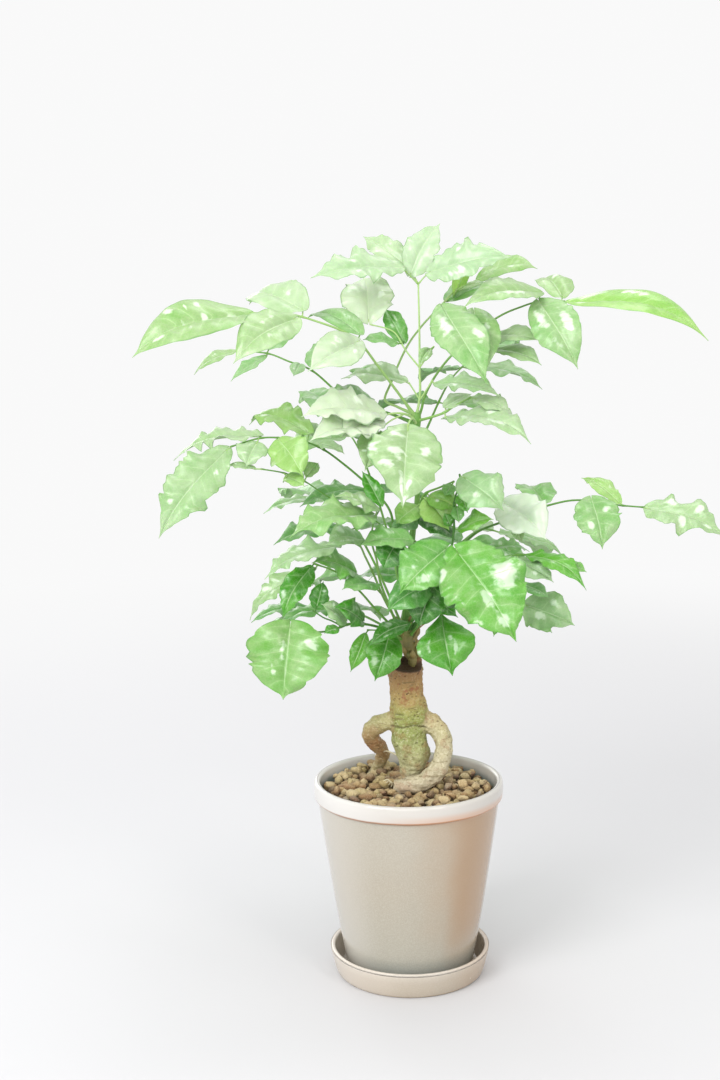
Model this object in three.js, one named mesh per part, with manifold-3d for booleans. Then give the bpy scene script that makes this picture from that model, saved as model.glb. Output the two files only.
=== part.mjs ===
// Potted heteropanax: a small tree with stilt roots in a glazed pot on its saucer.
// Millimetres, +Z up, origin at the middle of the saucer's underside, front of the plant at -Y.
import * as THREE from 'three';
import { mergeVertices } from 'three/addons/utils/BufferGeometryUtils.js';
import Module from 'manifold-3d';

const wasm = await Module();
wasm.setup();

// ---------- driving dimensions ----------
const gap = 0.3;                  // clearance between pieces that rest against each other

const saucerRadius = 57.2;        // outer radius at the lip
const saucerFootRadius = 52.7;
const saucerHeight = 18.7;
const saucerWall = 3;

const potRimRadius = 67.5;        // outer radius of the glazed rim band
const potNeckRadius = 64.8;       // body just under the band
const potFootRadius = 44.5;
const potTop = 141.3;
const rimBandHeight = 12;
const rimWall = 4.6;
const potWall = 4.2;
const footRingHeight = 2.5;
const drainRadius = 7.5;

const soilTop = 126.5;
const bedTop = 132.6;             // top of the gravel bed that the stones lie in
const stoneCount = 66;
const stoneSmall = 3.1;           // stone radii
const stoneLarge = 4.8;

const cutHeight = 224;            // middle of the trunk's sloping cut
const cutSlopeY = 0.29;           // the cut rises to the back
const cutSlopeX = -0.17;          // and to the left

const bladeThickness = 0.8;
const stalkLeast = 4.5;           // least length of a leaflet's stalk
const bladeFold = 0.16;           // rise of the margins over the midrib, as a share of the half width
const bladeStep = 13;             // length of blade between two turns of its rippled margin
const mostSteps = 6;
const petioleRadius = 1.35;       // frond stalk at its foot
const petioleTipRadius = 0.75;
const stalkHalf = 0.5;            // half the thickness of a leaflet's own stalk
const finestDetail = 0.02;
const turnSides = 30;             // sides of the turned pottery

// The foliage is laid out from one point in front of the plant: a place is given by where its
// line of sight meets the plane y = 0 (x, z), and then by its depth along y.
const frontEye = new THREE.Vector3(-32, -990, 452);

function spot(x, z, depth) {
  const stretch = (depth - frontEye.y) / -frontEye.y;
  return new THREE.Vector3(
    frontEye.x + (x - frontEye.x) * stretch,
    depth,
    frontEye.z + (z - frontEye.z) * stretch,
  );
}

// A repeatable draw between 0 and 1, the same on every run.
function seededDraw(seed) {
  let state = seed;
  return () => {
    state = (state * 48271) % 2147483647;
    return state / 2147483647;
  };
}

// ---------- solids ----------
function solidOf(geometry) {
  const bare = new THREE.BufferGeometry();
  bare.setAttribute('position', geometry.getAttribute('position'));
  bare.setIndex(geometry.getIndex());
  const merged = mergeVertices(bare, 1e-4);
  return new wasm.Manifold(new wasm.Mesh({
    numProp: 3,
    vertProperties: new Float32Array(merged.getAttribute('position').array),
    triVerts: new Uint32Array(merged.getIndex().array),
  }));
}

function geometryOf(solid) {
  const mesh = solid.getMesh();
  const geometry = new THREE.BufferGeometry();
  geometry.setAttribute('position', new THREE.BufferAttribute(mesh.vertProperties, 3));
  geometry.setIndex(new THREE.BufferAttribute(mesh.triVerts, 1));
  geometry.computeVertexNormals();
  return geometry;
}

function fuse(solids) {
  return solids.reduce((whole, piece) => whole.add(piece)).simplify(finestDetail);
}

// Turned body: the profile is a list of [radius, height] that closes on itself or on the axis.
function turned(profile, sides = turnSides) {
  const outline = profile.map(([radius, height]) => new THREE.Vector2(radius, height));
  const geometry = new THREE.LatheGeometry(outline, sides);
  geometry.rotateX(Math.PI / 2);
  const solid = solidOf(geometry);
  if (solid.volume() > 0) {
    return solid;
  }
  throw new Error('the profile runs the wrong way round');
}

// Closed skin over rings of equal point count, with a flat fan at either end.
function skin(rings) {
  const count = rings[0].length;
  const positions = rings.flat().flatMap((point) => [point.x, point.y, point.z]);
  const triangles = [];
  for (let ring = 0; ring < rings.length - 1; ring += 1) {
    for (let side = 0; side < count; side += 1) {
      const a = ring * count + side;
      const b = ring * count + (side + 1) % count;
      triangles.push(a, b, b + count, a, b + count, a + count);
    }
  }
  const last = (rings.length - 1) * count;
  for (let side = 1; side < count - 1; side += 1) {
    triangles.push(0, side + 1, side);
    triangles.push(last, last + side, last + side + 1);
  }
  const geometry = new THREE.BufferGeometry();
  geometry.setAttribute('position', new THREE.Float32BufferAttribute(positions, 3));
  geometry.setIndex(triangles);
  return solidOf(geometry);
}

// Tapering stalk through the points; radii holds one radius for each point.
function stalk(points, radii, sides = 5) {
  const rings = [];
  let across = new THREE.Vector3(1, 0, 0);
  points.forEach((point, index) => {
    const before = points[Math.max(index - 1, 0)];
    const after = points[Math.min(index + 1, points.length - 1)];
    const along = after.clone().sub(before).normalize();
    if (Math.abs(across.dot(along)) > 0.95) {
      across = new THREE.Vector3(0, 1, 0);
    }
    across = across.clone().addScaledVector(along, -across.dot(along)).normalize();
    const other = new THREE.Vector3().crossVectors(along, across);
    const ring = [];
    for (let side = 0; side < sides; side += 1) {
      const angle = (side / sides) * Math.PI * 2;
      ring.push(point.clone()
        .addScaledVector(across, Math.cos(angle) * radii[index])
        .addScaledVector(other, Math.sin(angle) * radii[index]));
    }
    rings.push(ring);
  });
  return skin(rings);
}

function evenTaper(count, first, last) {
  return Array.from({ length: count }, (_, index) => first + (last - first) * (index / (count - 1)));
}

// ---------- leaves ----------
// Half width along a leaf blade, as a share of its greatest: an egg shape with a drawn-out tip.
function bladeOutline(share) {
  return Math.sin(Math.PI * share ** 0.72) ** 0.9;
}

// One leaflet: a thin stalk from foot to base, then the blade out to tip. tilt leans its upper side
// from straight up (0) to the front (90). arch bows it up, as a share of its length, fold lifts its
// halves, wave ripples its margins.
function leaflet({ foot, base, tip, width, tilt, arch, wave }) {
  const along = tip.clone().sub(base);
  const length = along.length();
  along.normalize();
  const lean = THREE.MathUtils.degToRad(tilt);
  const up = new THREE.Vector3(0, -Math.sin(lean), Math.cos(lean));
  up.addScaledVector(along, -up.dot(along)).normalize();
  const side = new THREE.Vector3().crossVectors(along, up);
  const steps = Math.round(THREE.MathUtils.clamp(Math.max(length, 1.4 * width) / bladeStep, 3, mostSteps));
  const stalkWay = base.clone().sub(foot).normalize();
  const rings = [stalkRing(foot, stalkWay, side)];
  rings.push(stalkRing(base, stalkWay.clone().add(along).normalize(), side));
  for (let step = 1; step < steps; step += 1) {
    const share = step / steps;
    const half = (width / 2) * bladeOutline(share);
    const middle = base.clone()
      .addScaledVector(along, share * length)
      .addScaledVector(up, arch * length * 4 * share * (1 - share));
    const ripple = wave * half * Math.cos(Math.PI * step);
    rings.push(section([
      middle.clone().addScaledVector(side, -half).addScaledVector(up, half * bladeFold + ripple),
      middle,
      middle.clone().addScaledVector(side, half).addScaledVector(up, half * bladeFold - ripple),
    ], up, bladeThickness / 2));
  }
  const tipEdge = [-stalkHalf, stalkHalf].map((reach) => tip.clone().addScaledVector(side, reach));
  rings.push(section(tipEdge, up, bladeThickness / 2));
  return bladeSkin(rings);
}

// The points of a section from left to right, on its upper face and again on its lower face.
function section(points, up, half) {
  return {
    upper: points.map((point) => point.clone().addScaledVector(up, half)),
    lower: points.map((point) => point.clone().addScaledVector(up, -half)),
  };
}

function stalkRing(centre, way, side) {
  const across = side.clone().addScaledVector(way, -side.dot(way)).normalize();
  const over = new THREE.Vector3().crossVectors(across, way);
  const ends = [-stalkHalf, stalkHalf].map((reach) => centre.clone().addScaledVector(across, reach));
  return section(ends, over, stalkHalf);
}

// Skin over sections of two or three points a face: both faces are split along the same lines, so
// that they never cross.
function bladeSkin(sections) {
  const positions = [];
  const numbered = sections.map(({ upper, lower }) => {
    const number = (point) => positions.push(point.x, point.y, point.z) / 3 - 1;
    return { upper: upper.map(number), lower: lower.map(number) };
  });
  const triangles = [];
  const strip = (here, next, flip) => {
    const corners = here.length > next.length
      ? [[here[0], here[1], next[0]], [here[1], next[1], next[0]], [here[1], here[2], next[1]]]
      : [[here[0], here[1], next[1]], [here[0], next[1], next[0]]];
    if (next.length === 3) {
      const [from, to] = here.length === 3 ? [here[2], here[1]] : [here[1], here[1]];
      corners.push([from, next[2], next[1]]);
      if (from !== to) {
        corners.push([from, next[1], to]);
      }
    }
    corners.forEach(([a, b, c]) => triangles.push(...(flip ? [a, c, b] : [a, b, c])));
  };
  const wall = (a, b, c, d) => triangles.push(a, b, c, a, c, d);
  for (let index = 0; index < numbered.length - 1; index += 1) {
    const here = numbered[index];
    const next = numbered[index + 1];
    strip(here.upper, next.upper, false);
    strip(here.lower, next.lower, true);
    wall(here.upper[0], next.upper[0], next.lower[0], here.lower[0]);
    wall(here.lower.at(-1), next.lower.at(-1), next.upper.at(-1), here.upper.at(-1));
  }
  const first = numbered[0];
  const final = numbered.at(-1);
  wall(first.upper[0], first.lower[0], first.lower[1], first.upper[1]);
  wall(final.upper[0], final.upper[1], final.lower[1], final.lower[0]);
  const geometry = new THREE.BufferGeometry();
  geometry.setAttribute('position', new THREE.Float32BufferAttribute(positions, 3));
  geometry.setIndex(triangles);
  const solid = solidOf(geometry);
  if (solid.volume() > 0) {
    return solid;
  }
  throw new Error('a blade is inside out');
}

// A leafy stem. stems are routes [x, z, depth] from the foot up; each leaf row is
// [base x, z, depth, tip x, z, depth, width, tilt, arch]. Every blade gets a stalk of its own to
// the nearest point of the routes.
function frond({ stems, leaves, wave = 0.1, foot = petioleRadius }) {
  const pieces = [];
  const routes = stems.map((stem) => stem.map((place) => spot(...place)));
  routes.forEach((route, index) => {
    const start = index === 0 ? foot : petioleTipRadius * 1.1;
    pieces.push(stalk(route, evenTaper(route.length, start, petioleTipRadius), index === 0 ? 4 : 3));
  });
  leaves.forEach(([baseX, baseZ, baseDepth, tipX, tipZ, tipDepth, width, tilt, arch]) => {
    const base = spot(baseX, baseZ, baseDepth);
    const tip = spot(tipX, tipZ, tipDepth);
    const foot = nearestOn(routes, base);
    const clear = stalkLeast - foot.distanceTo(base);
    if (clear > 0) {
      base.addScaledVector(tip.clone().sub(base).normalize(), clear);
    }
    pieces.push(leaflet({ foot, base, tip, width, tilt, arch, wave }));
  });
  return fuse(pieces);
}

// The nearest point of the routes, a little way in from a route's end so that stalks root in it.
function nearestOn(routes, point) {
  let nearest = routes[0][0];
  const line = new THREE.Line3();
  const foot = new THREE.Vector3();
  routes.forEach((route) => {
    for (let index = 0; index < route.length - 1; index += 1) {
      line.set(route[index], route[index + 1]);
      const most = index === route.length - 2 ? 1 - 1.2 / line.distance() : 1;
      line.at(Math.min(line.closestPointToPointParameter(point, true), most), foot);
      if (foot.distanceTo(point) < nearest.distanceTo(point)) {
        nearest = foot.clone();
      }
    }
  });
  return nearest;
}

// ---------- pottery, soil and gravel ----------
function makeSaucer() {
  return turned([
    [0, 0],
    [saucerFootRadius - 1.2, 0],
    [saucerFootRadius, 1.2],
    [saucerRadius - 0.5, saucerHeight - 3],
    [saucerRadius, saucerHeight - 1.6],
    [saucerRadius - 0.9, saucerHeight],
    [saucerRadius - 2.1, saucerHeight],
    [saucerRadius - 3, saucerHeight - 1.2],
    [saucerFootRadius - saucerWall - 0.6, saucerWall],
    [0, saucerWall],
  ]);
}

const potBottom = saucerWall + gap;
const potFloorTop = potBottom + footRingHeight + 4.5;

// Inner radius of the pot at a height: the wall follows the body's taper.
function potInside(height) {
  const share = (height - potBottom) / (potTop - potBottom);
  return potFootRadius - potWall + share * (potRimRadius - rimWall - potFootRadius + potWall);
}

function makePot() {
  const bandFoot = potTop - rimBandHeight;
  const bodyHeight = bandFoot - potBottom;
  const belly = (share) => potFootRadius + (potNeckRadius - potFootRadius) * share ** 0.86;
  const body = [0.3, 0.65].map((share) => [belly(share), potBottom + share * bodyHeight]);
  return turned([
    [drainRadius, potBottom + footRingHeight],
    [potFootRadius - 6, potBottom + footRingHeight],
    [potFootRadius - 5, potBottom],
    [potFootRadius - 0.8, potBottom],
    ...body,
    [potNeckRadius, bandFoot],
    [potRimRadius - 0.6, bandFoot + 0.4],
    [potRimRadius, bandFoot + 1.8],
    [potRimRadius, potTop - 1.6],
    [potRimRadius - 1.8, potTop],
    [potRimRadius - rimWall, potTop - 1.3],
    [potInside(potTop - 8), potTop - 8],
    [potInside(potFloorTop + 4), potFloorTop + 4],
    [potInside(potFloorTop) - 4, potFloorTop],
    [drainRadius, potFloorTop],
    [drainRadius, potBottom + footRingHeight],
  ]);
}

function makeSoil(roots) {
  const soil = turned([
    [0, potFloorTop + gap],
    [potInside(potFloorTop) - 4 - gap, potFloorTop + gap],
    [potInside(potFloorTop + 4) - gap, potFloorTop + 4 + gap],
    [potInside(soilTop) - gap - 0.1, soilTop],
    [0, soilTop],
  ]);
  return soil.subtract(roots);
}

function stone(centre, radius, draw) {
  const geometry = new THREE.OctahedronGeometry(radius * 1.15, 0);
  geometry.rotateX(draw() * Math.PI);
  geometry.rotateZ(draw() * Math.PI);
  geometry.scale(0.85 + draw() * 0.4, 0.85 + draw() * 0.4, 0.7 + draw() * 0.2);
  geometry.translate(centre.x, centre.y, centre.z);
  return solidOf(geometry);
}

// Gravel: a bed with chunky stones standing out of it, set on a sunflower spiral.
function makeGravel(roots) {
  const edge = potInside(bedTop) - gap - 0.4;
  const bed = turned([
    [0, soilTop + gap],
    [potInside(soilTop) - gap - 0.5, soilTop + gap],
    [edge, bedTop],
    [0, bedTop],
  ]);
  const draw = seededDraw(71);
  const stones = [];
  const goldenAngle = Math.PI * (3 - Math.sqrt(5));
  for (let index = 0; index < stoneCount; index += 1) {
    const radius = stoneSmall + (stoneLarge - stoneSmall) * draw();
    const reach = (edge - radius * 1.3) * Math.sqrt((index + 0.5) / stoneCount);
    const angle = index * goldenAngle + draw() * 0.3;
    const centre = new THREE.Vector3(
      reach * Math.cos(angle),
      reach * Math.sin(angle),
      bedTop - radius * 0.35 + draw() * 1.2,
    );
    stones.push(stone(centre, radius, draw));
  }
  return oneBody(fuse([bed, ...stones]).subtract(roots), 'gravel');
}

// Drops the loose scraps that a cut leaves, and stops if a real piece came loose.
function oneBody(solid, name) {
  const best = solid.decompose().reduce((most, piece) => (piece.volume() > most.volume() ? piece : most));
  if (best.volume() < 0.995 * solid.volume()) {
    throw new Error(`a piece of ${name} came loose`);
  }
  return best;
}

// ---------- trunk ----------
// [height, left edge, right edge] of the trunk at its levels, as it stands out of the gravel.
const trunkLevels = [
  [98, 0, 4], [118, -2, 6.5], [136, -3, 8], [144, -5, 9], [153, -6.5, 14], [159, -8.5, 16],
  [167, -11.5, 14.5], [176, -12, 12.5], [181, -11.6, 12.6], [187.5, -12.5, 15.2], [195, -12.5, 13.5],
  [203, -12.5, 11.6], [211, -13, 11], [219, -14, 10.5],
];
const leftRoot = [
  [-6, 184, 1, 6], [-14, 182.5, 2, 6.2], [-21, 180.5, 3, 5.8], [-27, 176, 6, 5.4], [-26.5, 171, 11, 5],
  [-21.5, 166, 18, 4.8], [-18, 160.5, 25, 4.2], [-19.5, 154, 32, 3.4], [-24, 147, 38, 2.8], [-27, 136, 44, 2],
];
const rightRoot = [
  [8, 184, 0, 6.6], [15, 181.5, -1, 6.8], [21, 177, -3, 6.4], [25, 170.5, -6, 5.8], [25.5, 163, -9, 5.4],
  [24.5, 155, -11, 5.2], [21.5, 147.5, -12.5, 5], [14.5, 140.5, -14, 4.8], [5, 137, -15, 4.6],
  [-4, 136.2, -15, 4.3], [-10.5, 136.6, -14.5, 3.6],
];
const fibre = [[-19, 159.5, 22, 0.8], [-15, 161, 12, 0.8], [-8, 158, 2, 0.8]];
const rootFork = [[-23, 150, 36, 2], [-29, 143, 33, 1.6], [-35, 137, 30, 1.2]];

function rootTube(route, grow, sides) {
  const points = route.map(([x, z, depth]) => spot(x, z, depth));
  return stalk(points, route.map((row) => row[3] + grow), sides);
}

// The whole trunk, with every radius grown by grow, so that the same form also cuts its hole.
function trunkForm(grow) {
  const sides = 12;
  const rings = trunkLevels.map(([height, left, right], level) => {
    const middle = (left + right) / 2;
    const half = (right - left) / 2 + grow;
    const last = level === trunkLevels.length - 1;
    return Array.from({ length: sides }, (_, side) => {
      const angle = (side / sides) * Math.PI * 2;
      const knobble = 1 + 0.05 * Math.sin(3 * angle + level * 1.3);
      const x = middle + half * Math.cos(angle) * (Math.abs(Math.cos(angle)) > 0.9 ? 1 : knobble);
      const y = half * 0.92 * Math.sin(angle) * knobble;
      const z = last ? cutHeight + grow + cutSlopeY * y + cutSlopeX * x : height;
      return new THREE.Vector3(x, y, z);
    });
  });
  return fuse([
    skin(rings),
    rootTube(leftRoot, grow, 7),
    rootTube(rightRoot, grow, 7),
    rootTube(fibre, grow, 4),
    rootTube(rootFork, grow, 5),
    stalk([new THREE.Vector3(8, 3, 214), new THREE.Vector3(10, 4, 231)], [2.6 + grow, 1.3 + grow], 5),
  ]);
}

// ---------- main stem ----------
// [x, z, depth, radius] of the shoot that grows out of the cut and carries every frond.
const mainStemRoute = [
  [5, 219, 5, 6], [3.5, 227, 5, 6], [1, 235, 5, 6.2], [-1, 243, 4, 7.2], [-1, 250, 4, 7], [0, 258, 4, 5],
  [1, 268, 4, 3], [2.5, 292, 4, 2.4], [5, 320, 4, 2.2], [8, 338, 3, 2], [8.3, 366, 1, 1.9],
  [8, 388, 0, 2.4], [8, 396, 0, 3.4], [8.3, 401, 0, 2.6],
];

// ---------- fronds ----------
const fronds = {
  top_frond: {
    wave: 0.16,
    stems: [
      [[8, 398, 0], [10.5, 412, 0], [10.5, 431.5, 0], [10.5, 460, 2], [10, 489, 4]],
      [[10.5, 431.5, 0], [1, 443.5, 2], [-7, 456, 4], [-23.5, 461.5, 4]],
      [[10.5, 431.5, 0], [20.5, 446, -3]],
      [[10.5, 409.5, 0], [3, 421.5, 8]],
      [[10.5, 409.5, 0], [19.5, 423, -8]],
    ],
    leaves: [
      [-2, 499, 0, -63, 493, -24, 32, 34, 0.05],
      [5, 495, 5, 25, 528, 12, 23, 62, 0.06],
      [4, 499, 8, -27, 520, 34, 20, 60, 0.08],
      [18, 494, 2, 74, 503, -16, 36, 52, 0.1],
      [0, 449, 8, -13, 472, 22, 15, 68, 0.1],
      [-2, 448, 2, -28, 451, -12, 15, 36, 0.05],
      [-24, 462, 4, -27, 493, 32, 36, 36, 0.1],
      [19, 446, -3, 11, 434, -12, 9, 55, 0.1],
      [3, 422, 8, -43.5, 424.5, 36, 23, 22, 0.08],
      [19, 421, -8, 66, 411, -34, 22, 27, 0.08],
    ],
  },
  upper_left_frond: {
    stems: [
      [[8, 397, 0], [-4, 414, -7], [-18, 433, -14], [-32, 451, -20], [-45, 458.5, -25], [-57, 463, -29],
        [-73, 468, -33], [-88, 470, -36], [-103, 470, -39]],
    ],
    leaves: [
      [-103, 470, -39, -186, 441, -64, 42, 34, 0.13],
      [-69, 472, -26, -105, 476, 14, 36, 42, 0.16],
      [-74, 466, -36, -117, 436, -68, 33, 50, 0.12],
      [-31, 450, -23, -66, 430, -52, 30, 60, 0.1],
      [-30, 455, -16, -66, 466, 14, 24, 32, 0.14],
    ],
  },
  back_left_frond: {
    stems: [
      [[8, 393, 0], [-12, 401, 22], [-30, 406.5, 38], [-43.5, 412.5, 48], [-50, 419, 53], [-64, 431, 59],
        [-79, 437, 65], [-93, 442.5, 71], [-113, 444.5, 78]],
    ],
    leaves: [
      [-116, 444, 79, -144, 429, 84, 17, 30, 0.08],
      [-93, 442, 73, -119, 424, 62, 14, 28, 0.06],
      [-71, 436, 60, -76, 427, 48, 12, 50, 0.06],
      [-46, 414, 52, -20, 404, 84, 30, 30, 0.1],
      [-62, 433, 60, -40, 443, 104, 32, 24, 0.1],
      [-92, 446, 74, -84, 456, 118, 32, 20, 0.1],
    ],
  },
  back_twig: {
    stems: [
      [[8, 399, 0], [-5, 405, 18], [-13.5, 410, 30], [-9.5, 421, 34], [2, 446, 38], [12, 459.5, 41],
        [26.5, 474.5, 44], [35, 483, 46], [45, 488, 48]],
    ],
    leaves: [
      [34.5, 484, 46, 50, 508, 72, 22, -46, 0.08],
      [52, 491, 50, 91, 497, 42, 25, 33, 0.14],
      [37, 483, 46, 53, 487, 30, 12, 38, 0.08],
      [-10, 424, 38, -36, 427, 84, 28, 18, 0.1],
      [26, 463, 46, 52, 447, 98, 32, 22, 0.12],
      [30, 476, 48, 66, 481, 98, 30, 16, 0.12],
    ],
  },
  upper_right_frond: {
    wave: 0.07,
    stems: [
      [[8, 395, 0], [11.5, 403, 6], [13.5, 411, 10], [19.5, 423, 13], [30.5, 437.5, 14], [44, 450, 11], [58, 461, 7],
        [68, 467, 4], [79.5, 471.5, 1], [93.5, 475.5, -3], [110, 475, -7]],
    ],
    leaves: [
      [92, 481, 0, 40, 471, -28, 30, 32, 0.12],
      [108, 478, 0, 93, 488, 34, 26, 26, 0.14],
      [110, 475, -7, 208, 447, -44, 35, 30, 0.15],
      [93, 474, -8, 119, 429, -36, 33, 74, 0.14],
      [27, 472, -16, 57, 419, -58, 35, 56, 0.12],
      [48, 469, -8, 56, 426, -40, 28, 62, 0.12],
      [62, 452, 2, 92, 449, -22, 23, 42, 0.08],
      [64, 443, 2, 94, 432, -26, 20, 36, 0.08],
    ],
  },
  right_middle_frond: {
    stems: [
      [[8, 395, 0], [18, 397.5, -9], [27, 400.5, -13], [36, 406, -14], [46, 411, -15]],
    ],
    leaves: [
      [27, 404, -14, 46, 413, 2, 14, 30, 0.06],
      [46, 411, -15, 73, 398, -36, 17, 34, 0.1],
      [29, 396, -16, 87, 378, -54, 33, 28, 0.14],
    ],
  },
  front_leaf: {
    wave: 0.06,
    stems: [
      [[8, 393, 0], [6, 396.5, -12], [4, 396, -26], [2, 392, -36]],
    ],
    leaves: [
      [2, 391.5, -37, -2, 336, -76, 50, 66, 0.14],
    ],
  },
  pale_left_frond: {
    wave: 0.12,
    stems: [
      [[8, 396, 0], [0, 400, -8], [-8, 400.5, -13], [-15, 399, -18]],
      [[0, 400, -8], [-9, 396, -15], [-16, 391, -22], [-20, 389.5, -24]],
    ],
    leaves: [
      [-14, 401, -18, -71, 399, -44, 34, 38, 0.12],
      [-18, 396, -22, -44, 384, -48, 26, 52, 0.1],
      [-20, 390, -25, -66, 382, -56, 30, 36, 0.1],
      [-18, 388, -26, -28, 361, -46, 22, 66, 0.1],
    ],
  },
  left_frond: {
    wave: 0.12,
    stems: [
      [[-3, 246, 2], [-1.5, 270, -7], [-5.5, 289, -11], [-8, 309, -13], [-10.5, 332, -13], [-20, 345.5, -14],
        [-32, 357, -15], [-42.5, 366, -15], [-55, 375.5, -16], [-65, 380.5, -16], [-77, 383.5, -16],
        [-98, 385, -17], [-121, 379, -19]],
      [[-8, 314, -13], [-16, 322, -15], [-25, 329, -18], [-39, 336.5, -20], [-53, 343, -22],
        [-69, 354, -24], [-82.5, 360, -26], [-100, 363.5, -28]],
    ],
    leaves: [
      [-99, 386.5, -14, -160, 370, 4, 26, 20, 0.1],
      [-66, 388, -12, -107, 394, 20, 28, 30, 0.18],
      [-87, 383.5, -19, -71, 358, -40, 28, 66, 0.08],
      [-101, 384, -17, -110, 365, -32, 22, 60, 0.1],
      [-122, 378, -19, -172, 316, -46, 40, 50, 0.12],
      [-52, 384, -12, -82, 390, 16, 15, 22, 0.06],
      [-59, 381, -18, -42, 373, -28, 12, 38, 0.06],
      [-104, 363.5, -29, -127, 364, -26, 10, 24, 0.1],
      [-69, 357, -24, -60, 367, -14, 11, 48, 0.06],
      [-84, 359, -27, -70, 351, -40, 14, 38, 0.08],
    ],
  },
  front_left_frond: {
    wave: 0.14,
    stems: [
      [[-5, 248, -1], [-13, 268, -26], [-18.5, 284, -36], [-20.5, 298, -42], [-24, 313, -47], [-22, 328, -50]],
    ],
    leaves: [
      [-24, 330, -51, -81, 315, -84, 36, 32, 0.12],
      [-20, 334, -50, -52, 343, -56, 20, 26, 0.1],
      [-17, 337, -48, -30, 361, -40, 12, 58, 0.06],
    ],
  },
  low_left_frond: {
    stems: [
      [[-5, 252, 1], [-11, 262, -9], [-17, 274, -17], [-23, 289, -25], [-28.5, 301, -29], [-33, 309.5, -31],
        [-44, 311, -34]],
      [[-17, 274, -17], [-24, 281, -24], [-34, 288, -28]],
    ],
    leaves: [
      [-30, 312, -32, -56, 309, -50, 24, 36, 0.22],
      [-46, 309, -34, -99, 286, -58, 24, 22, 0.1],
      [-36, 290, -28, -66, 297, -40, 26, 34, 0.12],
      [-22, 281, -28, -45, 278, -48, 20, 30, 0.08],
    ],
  },
  drooping_left_frond: {
    stems: [
      [[-4, 244, 2], [-13, 254, -4], [-22, 264, -8], [-34, 278, -12], [-48, 290, -15], [-65, 297, -17]],
    ],
    leaves: [
      [-65, 297, -17, -87, 258, -34, 19, 46, 0.14],
      [-62, 294, -17, -110, 257, -8, 18, 34, 0.16],
      [-40, 286, -12, -66, 281, 12, 22, 20, 0.1],
    ],
  },
  round_leaf_left: {
    wave: 0.05,
    stems: [
      [[-5, 243, 0], [-20, 251, -13], [-39, 253.5, -23], [-53, 249, -27], [-66, 247, -29], [-77, 250, -31]],
      [[-45, 251.5, -25], [-53, 256, -27], [-58, 258, -28], [-66, 263.5, -29]],
    ],
    leaves: [
      [-84, 252, -32, -84, 200, -52, 60, 68, 0.06],
      [-42, 255, -25, -60, 268, -34, 16, 42, 0.08],
      [-64, 262, -29, -58, 284, -24, 13, 58, 0.06],
      [-30, 255, -20, -51, 266, -38, 19, 52, 0.1],
      [-46, 252, -26, -58, 247, -34, 9, 40, 0.06],
    ],
  },
  crown_leaves: {
    wave: 0.05,
    stems: [
      [[-3, 241, 2], [-7, 244, -9], [-12, 245, -14]],
      [[-7, 244, -9], [-16, 248, -12], [-28, 249, -15]],
      [[-7, 244, -9], [-2, 249, -13], [3, 253, -15]],
    ],
    leaves: [
      [-12, 245, -13, -23, 213, -28, 21, 68, 0.12],
      [-28, 249, -15, -40, 219, -24, 13, 56, 0.1],
      [3, 254, -14, -27, 237, -36, 15, 46, 0.1],
    ],
  },
  front_low_leaf: {
    wave: 0.05,
    stems: [
      [[2, 244, 2], [10, 254, -14], [18, 264, -24], [24, 263, -31]],
      [[8, 252, -10], [12, 271, -24]],
    ],
    leaves: [
      [24, 262, -32, 32, 215, -52, 40, 68, 0.08],
      [13, 272, -25, 36, 257, -40, 17, 44, 0.1],
    ],
  },
  front_right_frond: {
    wave: 0.07,
    stems: [
      [[1, 249, 0], [9, 266, -28], [18, 280, -46], [21, 290, -53], [25, 295, -56], [30, 301, -60],
        [34, 306, -62]],
      [[18, 280, -46], [17, 293, -46], [12, 305, -46], [6, 312, -47]],
    ],
    leaves: [
      [35, 305, -63, 77, 239, -98, 52, 58, 0.1],
      [27, 305, -62, 0, 281, -80, 28, 50, 0.1],
      [17, 281, -49, -12, 271, -62, 16, 44, 0.1],
      [5, 313, -47, -32, 309, -62, 22, 34, 0.12],
      [-6, 310, -50, -17, 295, -58, 18, 66, 0.06],
    ],
  },
  centre_right_frond: {
    stems: [
      [[5.5, 321, 4], [9, 330, -10], [13, 344, -20], [24, 349, -22], [34, 353, -20]],
    ],
    leaves: [
      [14, 341, -21, 28, 320, -32, 22, 54, 0.1],
      [16, 343, -20, 33, 334, -30, 18, 44, 0.1],
      [34, 353, -20, 27, 343, -28, 10, 50, 0.05],
    ],
  },
  upright_twig: {
    stems: [
      [[2, 248, 3], [17, 268, -14], [27, 292, -24], [32, 308, -30], [33.5, 319.5, -32], [33.5, 331.5, -34],
        [34.5, 342, -36], [38.5, 352.5, -38], [37.5, 358, -39]],
    ],
    leaves: [
      [39, 357, -39, 68, 332, -60, 31, 54, 0.12],
      [38, 347, -37, 43, 331, -46, 11, 50, 0.06],
      [35, 338, -35, 37, 324, -42, 9, 60, 0.06],
      [36, 319, -33, 61, 326, -44, 15, 42, 0.08],
      [32, 320, -33, 27, 331, -34, 8, 50, 0.05],
    ],
  },
  right_frond: {
    wave: 0.12,
    stems: [
      [[1, 251, 5], [15, 275, 2], [30, 298, 0], [45.5, 314, -2], [52, 318.5, -3], [74, 326.5, -5],
        [87, 331.5, -6], [100, 335.5, -7], [115, 338.5, -8], [130, 338, -9], [146, 335, -10], [166, 333, -12]],
    ],
    leaves: [
      [69, 337, -8, 98, 311, -38, 34, 58, 0.12],
      [129, 340, -11, 137, 304, -34, 31, 68, 0.14],
      [151, 335, -9, 122, 354, 10, 15, 44, 0.1],
      [166, 333, -12, 222, 311, -32, 34, 38, 0.12],
      [75, 325, -7, 81, 309, -18, 9, 56, 0.06],
      [96, 337, -5, 84, 348, 32, 28, 20, 0.1],
    ],
  },
  low_right_frond: {
    stems: [
      [[2, 246, 4], [24, 268, -3], [45, 287, -9], [62, 297, -14], [80, 301, -20], [98, 297, -26]],
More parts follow.
